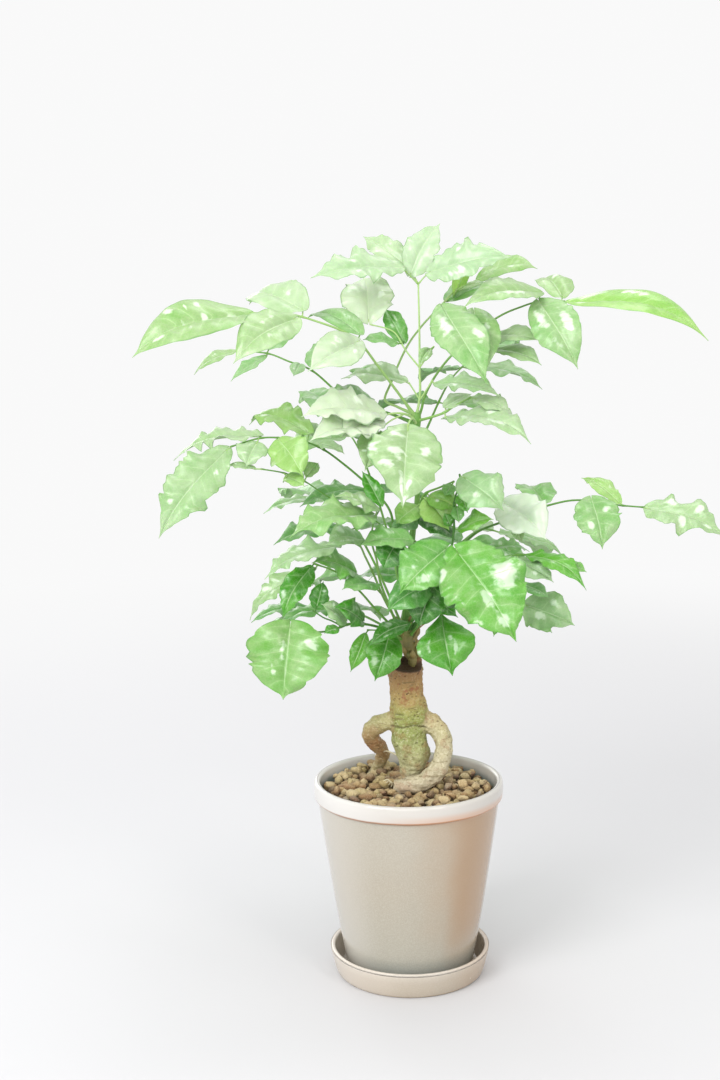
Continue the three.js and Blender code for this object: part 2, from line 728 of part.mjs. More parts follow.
      [[45, 287, -9], [62, 284, -13], [80, 281, -17]],
      [[24, 268, -3], [45, 268, -5], [66, 268, -7], [81, 266, -9]],
    ],
    leaves: [
      [82, 302, -20, 126, 275, -46, 17, 38, 0.18],
      [108, 294, -30, 126, 288, -38, 11, 34, 0.08],
      [58, 305, -10, 86, 303, 12, 16, 22, 0.08],
      [78, 297, -20, 103, 281, -36, 19, 42, 0.1],
      [80, 281, -17, 100, 270, -28, 13, 40, 0.08],
      [82, 266, -9, 118, 250, -26, 29, 58, 0.12],
      [84, 262, -8, 102, 245, 0, 16, 44, 0.06],
      [66, 264, -8, 61, 243, -16, 12, 62, 0.06],
    ],
  },
};

// ---------- fronds at the back ----------
// Routes as [x, y, z]; leaflets stand in pairs along them by a rule, with one at the end.
const backFronds = {
  back_frond_1: { route: [[-2, 6, 248], [-24, 46, 294], [-46, 86, 326], [-60, 114, 332]], leaf: 56 },
  back_frond_2: { route: [[0, 8, 252], [-12, 46, 312], [-30, 80, 366], [-44, 108, 388]], leaf: 58 },
  back_frond_3: { route: [[2, 7, 249], [30, 44, 290], [58, 80, 308], [78, 106, 302]], leaf: 54 },
  back_frond_4: { route: [[0, 9, 245], [6, 46, 266], [14, 84, 280], [22, 112, 274]], leaf: 54 },
  back_frond_5: { route: [[-3, 7, 242], [-28, 42, 250], [-54, 74, 254], [-72, 96, 246]], leaf: 50 },
  back_frond_6: { route: [[8, 3, 372], [18, 36, 390], [36, 74, 420], [54, 104, 436]], leaf: 56 },
};

function backFrond({ route, leaf }, seed) {
  const draw = seededDraw(seed);
  const curve = new THREE.CatmullRomCurve3(route.map((place) => new THREE.Vector3(...place)));
  const points = curve.getPoints(8);
  const pieces = [stalk(points, evenTaper(points.length, petioleRadius, petioleTipRadius), 4)];
  const addLeaf = (foot, heading, length) => {
    const base = foot.clone().addScaledVector(heading, 7);
    const tip = base.clone().addScaledVector(heading, length);
    const width = length * (0.5 + 0.08 * draw());
    pieces.push(leaflet({ foot, base, tip, width, tilt: 6 + 14 * draw(), arch: 0.1, wave: 0.1 }));
  };
  [0.5, 0.86].forEach((share, pair) => {
    const foot = curve.getPoint(share);
    const along = curve.getTangent(share);
    const level = new THREE.Vector3(along.y, -along.x, 0).normalize();
    [-1, 1].forEach((hand) => {
      const heading = along.clone().multiplyScalar(0.45).addScaledVector(level, hand);
      heading.z = -0.18 - 0.25 * draw();
      heading.normalize();
      addLeaf(foot, heading, leaf * (0.86 + 0.2 * draw() - 0.06 * pair));
    });
  });
  const end = points[points.length - 1];
  const heading = curve.getTangent(1);
  heading.z -= 0.35;
  heading.normalize();
  addLeaf(end.clone().addScaledVector(heading, -1), heading, leaf * 1.2);
  return fuse(pieces);
}

// ---------- the whole ----------
function finish(color, roughness, metalness = 0) {
  return new THREE.MeshStandardMaterial({ color, roughness, metalness });
}

const plant = new THREE.Group();

function place(name, solid, material) {
  const mesh = new THREE.Mesh(geometryOf(solid), material);
  mesh.name = name;
  plant.add(mesh);
}

const trunk = trunkForm(0);
const trunkHole = trunkForm(gap);
const stemPoints = mainStemRoute.map(([x, z, depth]) => spot(x, z, depth));
const stemRadii = mainStemRoute.map((row) => row[3]);
const mainStem = stalk(stemPoints, stemRadii, 8).subtract(trunkHole);
const stemHole = stalk(stemPoints, stemRadii.map((radius) => radius + gap), 8);
const carrier = stemHole.add(trunkHole);

place('saucer', makeSaucer(), finish('#d8d0c2', 0.35));
place('pot', makePot(), finish('#cfcbbf', 0.22));
place('soil', makeSoil(trunkHole), finish('#5a4636', 0.95));
place('gravel', makeGravel(trunkHole), finish('#b79a72', 0.9));
place('trunk', trunk, finish('#a99a6e', 0.8));
place('main_stem', oneBody(mainStem, 'main_stem'), finish('#5f7a3a', 0.55));

Object.entries(fronds).forEach(([name, layout]) => {
  place(name, oneBody(frond(layout).subtract(carrier), name), finish('#5fb04a', 0.35));
});
Object.entries(backFronds).forEach(([name, layout], index) => {
  place(name, oneBody(backFrond(layout, 31 + 17 * index).subtract(carrier), name), finish('#4a9a42', 0.35));
});

export default plant;
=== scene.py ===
import math

import bmesh
import bpy
import numpy as np
from mathutils import Matrix, Vector


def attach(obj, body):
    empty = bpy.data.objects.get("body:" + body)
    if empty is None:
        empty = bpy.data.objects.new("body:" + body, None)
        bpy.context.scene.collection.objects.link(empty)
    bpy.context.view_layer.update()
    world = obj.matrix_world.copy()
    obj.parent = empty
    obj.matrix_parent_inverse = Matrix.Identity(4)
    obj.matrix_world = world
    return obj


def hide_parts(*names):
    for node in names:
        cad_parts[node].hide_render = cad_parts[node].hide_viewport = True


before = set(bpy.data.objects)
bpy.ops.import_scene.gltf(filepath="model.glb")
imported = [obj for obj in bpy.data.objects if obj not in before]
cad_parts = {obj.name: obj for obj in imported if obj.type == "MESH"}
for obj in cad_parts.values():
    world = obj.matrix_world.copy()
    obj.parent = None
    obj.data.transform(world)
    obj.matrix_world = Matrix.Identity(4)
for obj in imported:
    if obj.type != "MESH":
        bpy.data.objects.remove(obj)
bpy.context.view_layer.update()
mm = 0.001
goldenAngle = 2.39996       # radians from one scale or stone to the next, so that none line up
print("frame loaded:", len(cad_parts), "nodes")


def unit(vectors):
    return vectors / np.maximum(np.linalg.norm(vectors, axis=-1, keepdims=True), 1e-12)


def smooth(values, low, high):
    # 0 below low, 1 above high, an S curve between
    share = np.clip((values - low) / (high - low), 0, 1)
    return share * share * (3 - 2 * share)


def around(sides):
    # even angles of one full turn
    return np.linspace(0, 2 * math.pi, sides, endpoint=False)


def linearColour(code):
    # hex colour to the linear values that shaders take
    levels = [int(code[place:place + 2], 16) / 255 for place in (1, 3, 5)]
    return (*[level / 12.92 if level < 0.04045 else ((level + 0.055) / 1.055) ** 2.4 for level in levels], 1)


def newObject(name, data):
    made = bpy.data.objects.new(name, data)
    bpy.context.scene.collection.objects.link(made)
    return made


def pointsOf(mesh):
    points = np.zeros(len(mesh.vertices) * 3)
    mesh.vertices.foreach_get("co", points)
    return points.reshape(-1, 3)


def edgeEnds(mesh):
    ends = np.zeros(len(mesh.edges) * 2, int)
    mesh.edges.foreach_get("vertices", ends)
    return ends.reshape(-1, 2)


def quadsOf(here):
    # the faces between neighbouring rows of point numbers, each row closed on itself
    turned = np.roll(here, -1, axis=1)
    return np.stack([here[:-1], turned[:-1], turned[1:], here[1:]], -1).reshape(-1, 4)


def setMark(mesh, name, values, kind="FLOAT", domain="POINT"):
    mesh.attributes.new(name, kind, domain).data.foreach_set("value", values)


def dressed(name, mesh, finish, nodes):
    mesh.update()
    mesh.materials.append(finish)
    piece = newObject(name, mesh)
    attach(piece, "root")
    if nodes:
        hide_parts(*nodes)
    return piece


class Skin:
    # collects closed surfaces in mm, and makes one mesh piece of them
    def __init__(self):
        self.points, self.faces, self.sharp, self.marks, self.count = [], [], [], {}, 0

    def add(self, points, faces, marks=None, sharp=None):
        points = np.asarray(points, float).reshape(-1, 3)
        self.points.append(points)
        for block in faces:
            self.faces.extend((np.asarray(block) + self.count).tolist())
        self.sharp.append(np.zeros(len(points), bool) if sharp is None else sharp)
        for name, values in (marks or {}).items():
            self.marks.setdefault(name, []).append((self.count, np.broadcast_to(values, len(points))))
        self.count += len(points)

    def addRows(self, rows, marks=None, sharp=None):
        # rows[i, j] are closed loops; both ends are closed by a fan to the middle of the end loop.
        # Loops turn so that the step along a loop, crossed with the step between rows, points out.
        count, sides = rows.shape[:2]
        here = np.arange(count * sides).reshape(count, sides)
        turned = np.roll(here, -1, axis=1)
        first, last = count * sides, count * sides + 1
        start = np.stack([np.full(sides, first), turned[0], here[0]], -1)
        end = np.stack([here[-1], turned[-1], np.full(sides, last)], -1)
        points = np.concatenate([rows.reshape(-1, 3), rows[[0, -1]].mean(1)])
        full = {}
        for name, values in (marks or {}).items():
            grid = np.broadcast_to(values, (count, sides))
            full[name] = np.concatenate([grid.reshape(-1), grid[[0, -1]].mean(1)])
        edges = None if sharp is None else np.concatenate([sharp.reshape(-1), [True, True]])
        self.add(points, [quadsOf(here), start, end], full, edges)

    def mesh(self, name, scale=1.0):
        made = bpy.data.meshes.new(name)
        made.from_pydata((np.concatenate(self.points) * scale).tolist(), [], self.faces)
        return made

    def piece(self, name, finish, nodes, slot, shadeSmooth=True):
        mesh = self.mesh(name, mm)
        mesh.polygons.foreach_set("use_smooth", np.full(len(mesh.polygons), shadeSmooth))
        for mark, blocks in self.marks.items():
            values = np.zeros(self.count, np.float32)
            for begin, block in blocks:
                values[begin:begin + len(block)] = block
            setMark(mesh, mark, values)
        sharp = np.concatenate(self.sharp)
        if sharp.any():
            setMark(mesh, "sharp_edge", sharp[edgeEnds(mesh)].all(1), "BOOLEAN", "EDGE")
        return dressed(name, mesh, finish, nodes)


def joined(operation, reflected=False):
    # one maths node as a method of Wire; the reflected form has the other value first
    def method(self, *others):
        values = [*others, self] if reflected else [self, *others]
        return self.shader.node("ShaderNodeMath", {"operation": operation}, dict(enumerate(values)))
    return method


class Wire:
    # an output socket that takes part in Python expressions
    __add__, __radd__ = joined("ADD"), joined("ADD", True)
    __sub__, __rsub__ = joined("SUBTRACT"), joined("SUBTRACT", True)
    __mul__, __rmul__ = joined("MULTIPLY"), joined("MULTIPLY", True)
    __truediv__, __rtruediv__ = joined("DIVIDE"), joined("DIVIDE", True)
    __abs__ = joined("ABSOLUTE")
    fract = joined("FRACT")
    most = joined("MAXIMUM")

    def __init__(self, shader, socket):
        self.shader, self.socket = shader, socket

    def step(self, low, high):
        # 0 at low, 1 at high, an S curve between; low may be the larger one
        sockets = {"Value": self, "From Min": low, "From Max": high}
        return self.shader.node("ShaderNodeMapRange", {"interpolation_type": "SMOOTHSTEP"}, sockets)

    def ramp(self, stops):
        return self.shader.node("ShaderNodeValToRGB", {"stops": stops}, {"Fac": self})


class Shader:
    def __init__(self, name):
        self.material = bpy.data.materials.new(name)
        self.material.use_nodes = True
        self.tree = self.material.node_tree
        self.tree.nodes.clear()

    def node(self, kind, settings=None, sockets=None, out=0):
        made = self.tree.nodes.new(kind)
        for key, value in (settings or {}).items():
            if key == "stops":
                self.setStops(made.color_ramp, value)
            else:
                setattr(made, key, value)
        for key, value in (sockets or {}).items():
            socket = made.inputs[key]
            if isinstance(value, Wire):
                self.tree.links.new(value.socket, socket)
            else:
                socket.default_value = linearColour(value) if isinstance(value, str) else value
        return Wire(self, made.outputs[out]) if len(made.outputs) else None

    def setStops(self, ramp, stops):
        while len(ramp.elements) < len(stops):
            ramp.elements.new(1)
        for element, (place, colour) in zip(ramp.elements, stops):
            element.position = place
            element.color = linearColour(colour)

    def mark(self, name):
        return self.node("ShaderNodeAttribute", {"attribute_name": name}, out="Fac")

    def place(self):
        return self.node("ShaderNodeTexCoord", out="Object")

    def part(self, vector, axis):
        return self.node("ShaderNodeSeparateXYZ", sockets={0: vector}, out=axis)

    def stretched(self, vector, scale):
        return self.node("ShaderNodeVectorMath", {"operation": "MULTIPLY"}, {0: vector, 1: scale})

    def length(self, vector):
        return self.node("ShaderNodeVectorMath", {"operation": "LENGTH"}, {0: vector}, out="Value")

    def fromAxis(self, place):
        # distance from the pot's axis, in mm
        return self.length(self.stretched(place, (1, 1, 0))) / mm

    def noise(self, vector, scale, detail=3.0, roughness=0.5):
        sockets = {"Vector": vector, "Scale": scale, "Detail": detail, "Roughness": roughness}
        return self.node("ShaderNodeTexNoise", {}, sockets)

    def cells(self, vector, scale, feature="F1"):
        return self.node("ShaderNodeTexVoronoi", {"feature": feature}, {"Vector": vector, "Scale": scale})

    def mix(self, share, first, second):
        # colours: the factor is socket 0, the colours are sockets 6 and 7, and the result is output 2
        return self.node("ShaderNodeMix", {"data_type": "RGBA"}, {0: share, 6: first, 7: second}, out=2)

    def layered(self, colour, layers):
        # colours laid over each other, each with its share
        for share, over in layers:
            colour = self.mix(share, colour, over)
        return colour

    def bump(self, height, strength, distance):
        sockets = {"Height": height, "Strength": strength, "Distance": distance * mm}
        return self.node("ShaderNodeBump", {}, sockets)

    def finish(self, sockets):
        surface = self.node("ShaderNodeBsdfPrincipled", {}, sockets)
        self.node("ShaderNodeOutputMaterial", {}, {"Surface": surface})
        return self.material


cameraPlan = {
    "eye": (-32, -990, 452),        # mm
    "down": math.radians(8.0),
    "roll": -0.014,
    "focal": 1435 / 1080 * 36,      # mm on a 36 mm long side
}


def makeCamera():
    down, roll = cameraPlan["down"], cameraPlan["roll"]
    ahead = np.array([0, math.cos(down), -math.sin(down)])
    level = np.array([1.0, 0, 0])
    over = np.cross(level, ahead)
    right = math.cos(roll) * level + math.sin(roll) * over
    top = -math.sin(roll) * level + math.cos(roll) * over
    turn = np.eye(4)
    turn[:3, :3] = np.stack([right, top, -ahead], 1)
    turn[:3, 3] = np.array(cameraPlan["eye"]) * mm
    lens = bpy.data.cameras.new("camera")
    lens.lens, lens.sensor_width, lens.clip_start, lens.clip_end = cameraPlan["focal"], 36, 0.05, 60
    camera = newObject("camera", lens)
    camera.matrix_world = Matrix(turn.tolist())
    bpy.context.scene.camera = camera


lightPlan = {
    "sky": 0.95,
    "skyColour": "#ffffff",
    "floorRadius": 14.0,            # m
    "floorColour": "#cbcbcd",
    "fade": (0.35, 1.8),            # m from the pot: the floor turns into the pale surround
    "aim": (0, 0, 0.3),             # m
    "boxes": [                      # name, place (m), size (m), watts, colour
        ("keyLight", (-0.9, -1.1, 1.2), 0.8, 18, "#ffffff"),
        ("rightWindow", (0.8, -1.15, 0.95), 0.4, 4.5, "#fff8f0"),
        ("frontFill", (-0.15, -1.75, 0.75), 1.0, 5, "#ffffff"),
        ("topWindow", (0.25, 0.35, 1.6), 0.6, 4, "#ffffff"),
        ("backFill", (-0.7, 1.5, 0.8), 0.8, 4, "#ffffff"),
    ],
}


def makeLights():
    for name, place, size, watts, colour in lightPlan["boxes"]:
        lamp = bpy.data.lights.new(name, "AREA")
        lamp.size, lamp.energy, lamp.color = size, watts, linearColour(colour)[:3]
        box = newObject(name, lamp)
        box.location = place
        box.rotation_mode = "QUATERNION"
        box.rotation_quaternion = (Vector(lightPlan["aim"]) - Vector(place)).to_track_quat("-Z", "Y")
    world = bpy.data.worlds.new("paleSurround")
    world.use_nodes = True
    sky = world.node_tree.nodes["Background"]
    sky.inputs["Color"].default_value = linearColour(lightPlan["skyColour"])
    sky.inputs["Strength"].default_value = lightPlan["sky"]
    bpy.context.scene.world = world
    bpy.context.scene.view_settings.view_transform = "Standard"


def makeFloor():
    # a flat disc whose rim fades into the surround
    sides = 96
    angles = around(sides)
    rim = lightPlan["floorRadius"] * np.stack([np.cos(angles), np.sin(angles), np.zeros(sides)], -1)
    mesh = bpy.data.meshes.new("floor")
    mesh.from_pydata(rim.tolist(), [], [list(range(sides))])
    shader = Shader("floorFinish")
    away = shader.length(shader.place())
    plain = {"Base Color": lightPlan["floorColour"], "Roughness": 0.7}
    near = shader.node("ShaderNodeBsdfPrincipled", {}, plain)
    glow = {"Color": lightPlan["skyColour"], "Strength": lightPlan["sky"]}
    far = shader.node("ShaderNodeEmission", {}, glow)
    surface = shader.node("ShaderNodeMixShader", {}, {0: away.step(*lightPlan["fade"]), 1: near, 2: far})
    shader.node("ShaderNodeOutputMaterial", {}, {"Surface": surface})
    mesh.materials.append(shader.material)
    newObject("floor", mesh)


makeCamera()
makeLights()
makeFloor()
print("camera, light and floor made")

pottery = {     # mm
    "sides": 168,
    "rimRadius": 67.5, "neckRadius": 64.8, "footRadius": 44.5,
    "top": 141.3, "bandHeight": 12, "rimWall": 4.6, "wall": 4.2,
    "bottom": 3.3, "footRing": 2.5, "floorThickness": 4.5, "drain": 7.5,
    "bulge": 0.86,                  # the body's radius grows as its height to this power
    "saucerRadius": 57.2, "saucerFoot": 52.7, "saucerHeight": 18.7, "saucerWall": 3,
    "cornerSteps": 7, "longest": 4,     # points to a rounded corner, longest span of a profile
}


def rounded(profile):
    # each corner given as (radius, height, round) becomes an arc-like curve that cuts it off: a
    # quadratic curve from "round" before the corner to "round" past it
    corners = np.array([corner[:2] for corner in profile], float)
    share = np.linspace(0, 1, pottery["cornerSteps"])[:, None]
    made = []
    for index, (corner, given) in enumerate(zip(corners, profile)):
        if len(given) < 3 or index in (0, len(profile) - 1):
            made.append(corner[None])
            continue
        before = corner + unit(corners[index - 1] - corner) * given[2]
        after = corner + unit(corners[index + 1] - corner) * given[2]
        made.append(before * (1 - share) ** 2 + 2 * corner * share * (1 - share) + after * share ** 2)
    return np.concatenate(made)


def finely(profile):
    # the same profile with extra points, so that no span is too long
    made = [profile[:1]]
    for start, end in zip(profile[:-1], profile[1:]):
        count = max(1, math.ceil(np.linalg.norm(end - start) / pottery["longest"]))
        made.append(start + (end - start) * (np.arange(1, count + 1) / count)[:, None])
    return np.concatenate(made)


def turnedPiece(corners, name, finish, node, slot):
    # a profile of (radius, height), turned about Z. It runs out over the foot and up the outside, so
    # that faces point out, and it starts and ends on the axis or closes on itself.
    profile = finely(rounded(corners))
    sides = pottery["sides"]
    angles = around(sides)
    onAxis = profile[0, 0] == 0
    radius, height = (profile[1:-1] if onAxis else profile[:-1]).T[:, :, None]
    rows = np.stack([radius * np.cos(angles), radius * np.sin(angles), height + 0 * angles], -1)
    skin = Skin()
    if onAxis:
        skin.addRows(rows)
    else:
        here = np.arange(rows.shape[0] * sides).reshape(-1, sides)
        skin.add(rows, [quadsOf(np.concatenate([here, here[:1]]))])
    skin.piece(name, finish, [node], slot)


def potInside(height):
    # inner radius of the pot: the wall follows the body's taper
    share = (height - pottery["bottom"]) / (pottery["top"] - pottery["bottom"])
    foot = pottery["footRadius"] - pottery["wall"]
    return foot + share * (pottery["rimRadius"] - pottery["rimWall"] - foot)


def makePot():
    # foot ring, slightly bellied body, rounded rim band, and the inside back down to the drain hole
    plan = pottery
    bottom, top = plan["bottom"], plan["top"]
    foot, neck, rim = plan["footRadius"], plan["neckRadius"], plan["rimRadius"]
    bandFoot = top - plan["bandHeight"]
    shares = np.linspace(0.03, 1, 26)
    swell = [foot + (neck - foot) * share ** plan["bulge"] for share in shares]
    body = [(radius, bottom + share * (bandFoot - bottom)) for radius, share in zip(swell, shares)]
    inside = bottom + plan["footRing"] + plan["floorThickness"]
    turnedPiece([
        (plan["drain"], bottom + plan["footRing"]),
        (foot - 6, bottom + plan["footRing"], 0.8),
        (foot - 5, bottom, 0.7),
        (foot - 0.5, bottom, 1.2),
        *body,
        (neck + 0.3, bandFoot - 0.2, 0.2),
        (rim - 0.5, bandFoot - 0.2, 1.1),
        (rim - 0.1, bandFoot + 3.5, 2),
        (rim, top - 4.5, 2),
        (rim - 0.5, top, 2.2),
        (rim - plan["rimWall"] + 0.2, top, 2.2),
        (potInside(top - 8), top - 8, 3),
        (potInside(inside), inside, 3),
        (plan["drain"], inside, 0.8),
        (plan["drain"], bottom + plan["footRing"]),
    ], "potGlazed", potFinish(), "pot", "pot_glaze")


def makeSaucer():
    keys = ("saucerRadius", "saucerFoot", "saucerHeight", "saucerWall")
    lip, foot, height, wall = (pottery[key] for key in keys)
    turnedPiece([
        (0, 0),
        (foot - 8, 0),
        (foot, 0, 1.6),
        (foot + 1.6, 4.5, 3),
        (lip - 0.3, height - 3.4, 3),
        (lip, height, 1.7),
        (lip - 3.2, height, 1.5),
        (lip - 4.2, height - 6, 3),
        (foot - wall - 0.4, wall, 2.5),
        (foot - wall - 10, wall),
        (0, wall),
    ], "saucerGlazed", saucerFinish(), "saucer", "saucer_glaze")


def glazeGrain(shader, place, colour, pale, dull, veil):
    # fine pale specks, and a duller grain that veils the glaze
    mottle = shader.noise(place, 1100, 3, 0.7)
    grain = shader.noise(place, 900, 2, 0.6)
    layers = [(mottle.step(0.38, 0.66) * 0.22, pale), ((grain - 0.5) * 0.5 + veil, dull)]
    return shader.layered(colour, layers), grain


def potFinish():
    shader = Shader("potGlaze")
    place = shader.place()
    east, south, height = (shader.part(place, axis) / mm for axis in "XYZ")
    reach = shader.fromAxis(place)
    cloud = shader.noise(place, 34, 4, 0.55)
    body = (height / 141 + (cloud - 0.5) * 0.06).ramp([
        (0.06, "#8d9896"), (0.12, "#999e99"), (0.2, "#a19e91"), (0.55, "#a69e8f"), (0.88, "#aaa497"),
    ])
    body, grain = glazeGrain(shader, place, body, "#cfc8ba", "#a59d8c", 0.2)
    speck = shader.cells(place, 620).step(0.16, 0.05)
    # these masks place painted light: a warm painted reflection towards one side, painted light towards the
    # other
    side = east * 0.9 - south * 0.5 + (cloud - 0.5) * 18
    paintedWarmReflection = (east * 0.81 - south * 0.59) / reach + (cloud - 0.5) * 0.06
    pale = east / reach
    edge = pottery["top"] - pottery["bandHeight"]
    wander = (shader.noise(place, 60, 2) - 0.5) * 1.1
    band = (height + wander * 0.5).step(edge - 0.2, edge + 1.1)
    line = abs(height + wander - edge + 0.2).step(1.7, 0.3)
    bandReflection = abs(height - edge - 1.5).step(5, 0.5) * side.step(5, 62)
    slope = (pottery["rimRadius"] - pottery["rimWall"] - potInside(0)) / pottery["top"]
    inner = (reach - height * slope - potInside(0) - 1.6).step(0.6, -0.6)
    below = height.step(4.4, 3.6)
    glazed = shader.layered(body, [
        (speck * cloud * 0.3, "#8f8674"),
        # painted light: a warm painted reflection towards one side, painted light towards the other
        (side.step(25, 62) * height.step(15, 55) * 0.5, "#ae9070"),
        (paintedWarmReflection.step(0.84, 0.99) * height.step(8, 50) * 0.5, "#a07a52"),
        (pale.step(-0.35, -0.95) * 0.6, "#c6c1b8"),
        # the rim band, paler on one side (painted light), a bare line, a warm painted reflection under it
        (band, "#c3bfb9"),
        (band * pale.step(-0.2, -0.9) * 0.6, "#dddbd8"),
        (line * 0.9, "#a8734b"),
        (bandReflection * 0.45, "#c98f62"),
        # grey inside, bare under the foot
        (inner * (height + wander * 2).step(137, 131.5) * 0.85, "#84908c"),
        (below, "#b59b80"),
    ])
    return shader.finish({
        "Base Color": glazed,
        "Roughness": below * 0.5 + cloud * 0.1 + 0.1,
        "Normal": shader.bump(shader.noise(place, 42, 2) + grain * 0.03, 0.35, 0.5),
        "Specular IOR Level": 0.55,
        "Coat Weight": 0.35,
        "Coat Roughness": 0.06,
    })


def saucerFinish():
    shader = Shader("saucerGlaze")
    place = shader.place()
    cloud = shader.noise(place, 38, 4, 0.55)
    share = shader.part(place, "Z") / mm / pottery["saucerHeight"]
    colour = (share + (cloud - 0.5) * 0.12).ramp([
        (0.02, "#9f8e75"), (0.1, "#b1a594"), (0.6, "#b9ae9e"), (0.86, "#c4bbad"), (0.97, "#d6cfc4"),
    ])
    colour, grain = glazeGrain(shader, place, colour, "#cdc4b6", "#a89d8c", 0.16)
    paintedLightSide = shader.part(place, "X") / mm + (cloud - 0.5) * 14
    # painted light: paler towards one side, and a warm painted reflection towards the other
    layers = [(paintedLightSide.step(0, -48) * 0.4, "#ddd3c8"), (paintedLightSide.step(18, 54) * 0.35, "#a98560")]
    return shader.finish({
        "Base Color": shader.layered(colour, layers),
        "Roughness": cloud * 0.16 + 0.17,
        "Normal": shader.bump(shader.noise(place, 45, 2) + grain * 0.04, 0.3, 0.5),
        "Coat Weight": 0.25,
        "Coat Roughness": 0.1,
    })


makePot()
makeSaucer()
print("pot and saucer made")

frontEye = np.array(cameraPlan["eye"], float)        # mm


def spot(x, z, depth):
    # the point that the front eye sees at x, z of the plane through the pot's axis, moved to a depth
    reach = (depth - frontEye[1]) / -frontEye[1]
    return frontEye + (np.array([x, 0.0, z]) - frontEye) * reach


def lengthOf(places):
    return np.linalg.norm(np.diff(places, axis=0), axis=1).sum()


def spread(radii, shares):
    # radii given at even steps, read at shares of the whole
    return np.interp(shares, np.linspace(0, 1, len(radii)), radii)


def curveThrough(points, shares):
    # a centripetal Catmull-Rom curve, its ends carried on by mirroring the first and last span.
    # Between two points it is the cubic that has both positions and both directions.
    points = np.asarray(points, float)
    full = np.concatenate([[2 * points[0] - points[1]], points, [2 * points[-1] - points[-2]]])
    at = np.clip(np.asarray(shares, float), 0, 1) * (len(points) - 1)
    span = np.minimum(at.astype(int), len(points) - 2)
    p0, p1, p2, p3 = (full[span + step] for step in range(4))
    gaps = np.sqrt(np.linalg.norm(np.diff(full, axis=0), axis=1))
    g0, g1, g2 = (gaps[span + step][:, None] for step in range(3))
    leave = ((p1 - p0) / g0 - (p2 - p0) / (g0 + g1) + (p2 - p1) / g1) * g1
    arrive = ((p2 - p1) / g1 - (p3 - p1) / (g1 + g2) + (p3 - p2) / g2) * g1
    part = (at - span)[:, None]
    return (p1 + leave * part + (3 * (p2 - p1) - 2 * leave - arrive) * part ** 2
            + (2 * (p1 - p2) + leave + arrive) * part ** 3)


def tubeRows(path, radii, sides):
    # circles of the given radii around a path, each square to the path there
    way = unit(np.gradient(path, axis=0))
    least = np.eye(3)[np.argmin(np.abs(unit(path[-1] - path[0])))]
    first = unit(np.cross(way, least))
    second = np.cross(way, first)
    angles = around(sides)[None, :, None]
    radii = np.asarray(radii, float)[:, None, None]
    return path[:, None] + radii * (np.cos(angles) * first[:, None] + np.sin(angles) * second[:, None])


def seededDraw(seed):
    # a small repeatable sequence of numbers between 0 and 1
    state = seed

    def draw():
        nonlocal state
        state = state * 48271 % 2147483647
        return state / 2147483647
    return draw


def waves(points, scale, seed, count=7):
    # smooth repeatable roughness, about -1 to 1: plane waves in random directions, added together
    chance = np.random.default_rng(seed)
    ways = unit(chance.normal(size=(count, 3))) * (2 * math.pi / scale) * chance.uniform(0.7, 1.5, (count, 1))
    return np.sin(points @ ways.T + chance.uniform(0, 7, count)).sum(1) / math.sqrt(count)


trunkPlan = {
    "levels": [     # height, left edge, right edge
        (98, 0, 4), (118, -2, 6.5), (136, -3, 8), (144, -5, 9), (153, -6.5, 14), (159, -8.5, 16),
        (167, -11.5, 14.5), (176, -12, 12.5), (181, -11.6, 12.6), (187.5, -12.5, 15.2), (195, -12.5, 13.5),
        (203, -12.5, 11.6), (211, -13, 11), (219, -14, 10.5), (229, -14.6, 10.2),
    ],
    "depthShare": 0.92,
    "cutHeight": 224, "cutSlopeY": 0.29, "cutSlopeX": -0.17,
    "leftRoot": [   # x, z, depth, radius
        (-6, 184, 1, 6.4), (-14, 182.5, 2, 6.8), (-21, 180.5, 3, 6.5), (-26.5, 176, 6, 6.1),
        (-26, 171, 11, 5.9), (-21.5, 166, 18, 5.7), (-18, 160.5, 25, 5.2), (-19.5, 154, 32, 4.4),
        (-24, 147, 38, 3.8), (-27, 136, 44, 3),
    ],
    "rightRoot": [
        (8, 184, 0, 7), (15, 181.5, -1, 7.2), (21, 177, -3, 6.9), (25, 170.5, -6, 6.5), (25.5, 163, -9, 6.3),
        (24.5, 155, -11, 6.2), (21.5, 147.5, -12.5, 6.4), (14.5, 140, -14, 6.6), (5, 136, -15, 6.4),
        (-4, 134.8, -15, 5.6), (-10.5, 135.4, -14.5, 4.4),
    ],
    "rootFork": [(-23, 150, 36, 2), (-29, 143, 33, 1.6), (-35, 137, 30, 1.2)],
    "fibre": [(-19, 159.5, 22, 0.8), (-15, 161, 12, 0.8), (-8, 158, 2, 0.8)],
    "stub": [(8, 3, 214), (8.6, 3.2, 222), (10, 4, 231)],       # points
    "stubRadii": [2.6, 2.4, 1.3],
    "voxel": 0.75,
    "shoot": (8.9, 3.4), "shootEdge": (4.4, 3.2),   # the cut spares this: middle, radii of its blend
    "dish": 1.6, "dishMiddle": (-2, 0), "dishHalf": (12.5, 11.5),
    "dishRough": (0.35, 2.2, 5),                    # depth, wavelength, seed, and maybe the number of waves
    "knobs": [(0.42, 11, 1), (0.2, 4.5, 2), (0.1, 1.9, 3, 11)],
    "wrinkles": (0.14, 2.6, 4, 9),
    "oval": (13, 12),       # half widths of the trunk without its roots
    "rootlets": 5,
    "creases": [(181.4, -12, 13, 1.0, -0.007), (190.3, -9, -3, 0.8, 0)],    # height, from x, to x, depth, sag
}


def routeOf(rows):
    places = np.array([spot(*row[:3]) for row in rows])
    return places, np.array([row[3] for row in rows])


def addRoute(skin, places, radii, sides, step, marks=None):
    # a round shoot or root along a smooth curve, with a loop of points every step
    shares = np.linspace(0, 1, max(4, int(lengthOf(places) / step)))
    skin.addRows(tubeRows(curveThrough(places, shares), spread(radii, shares), sides), marks)


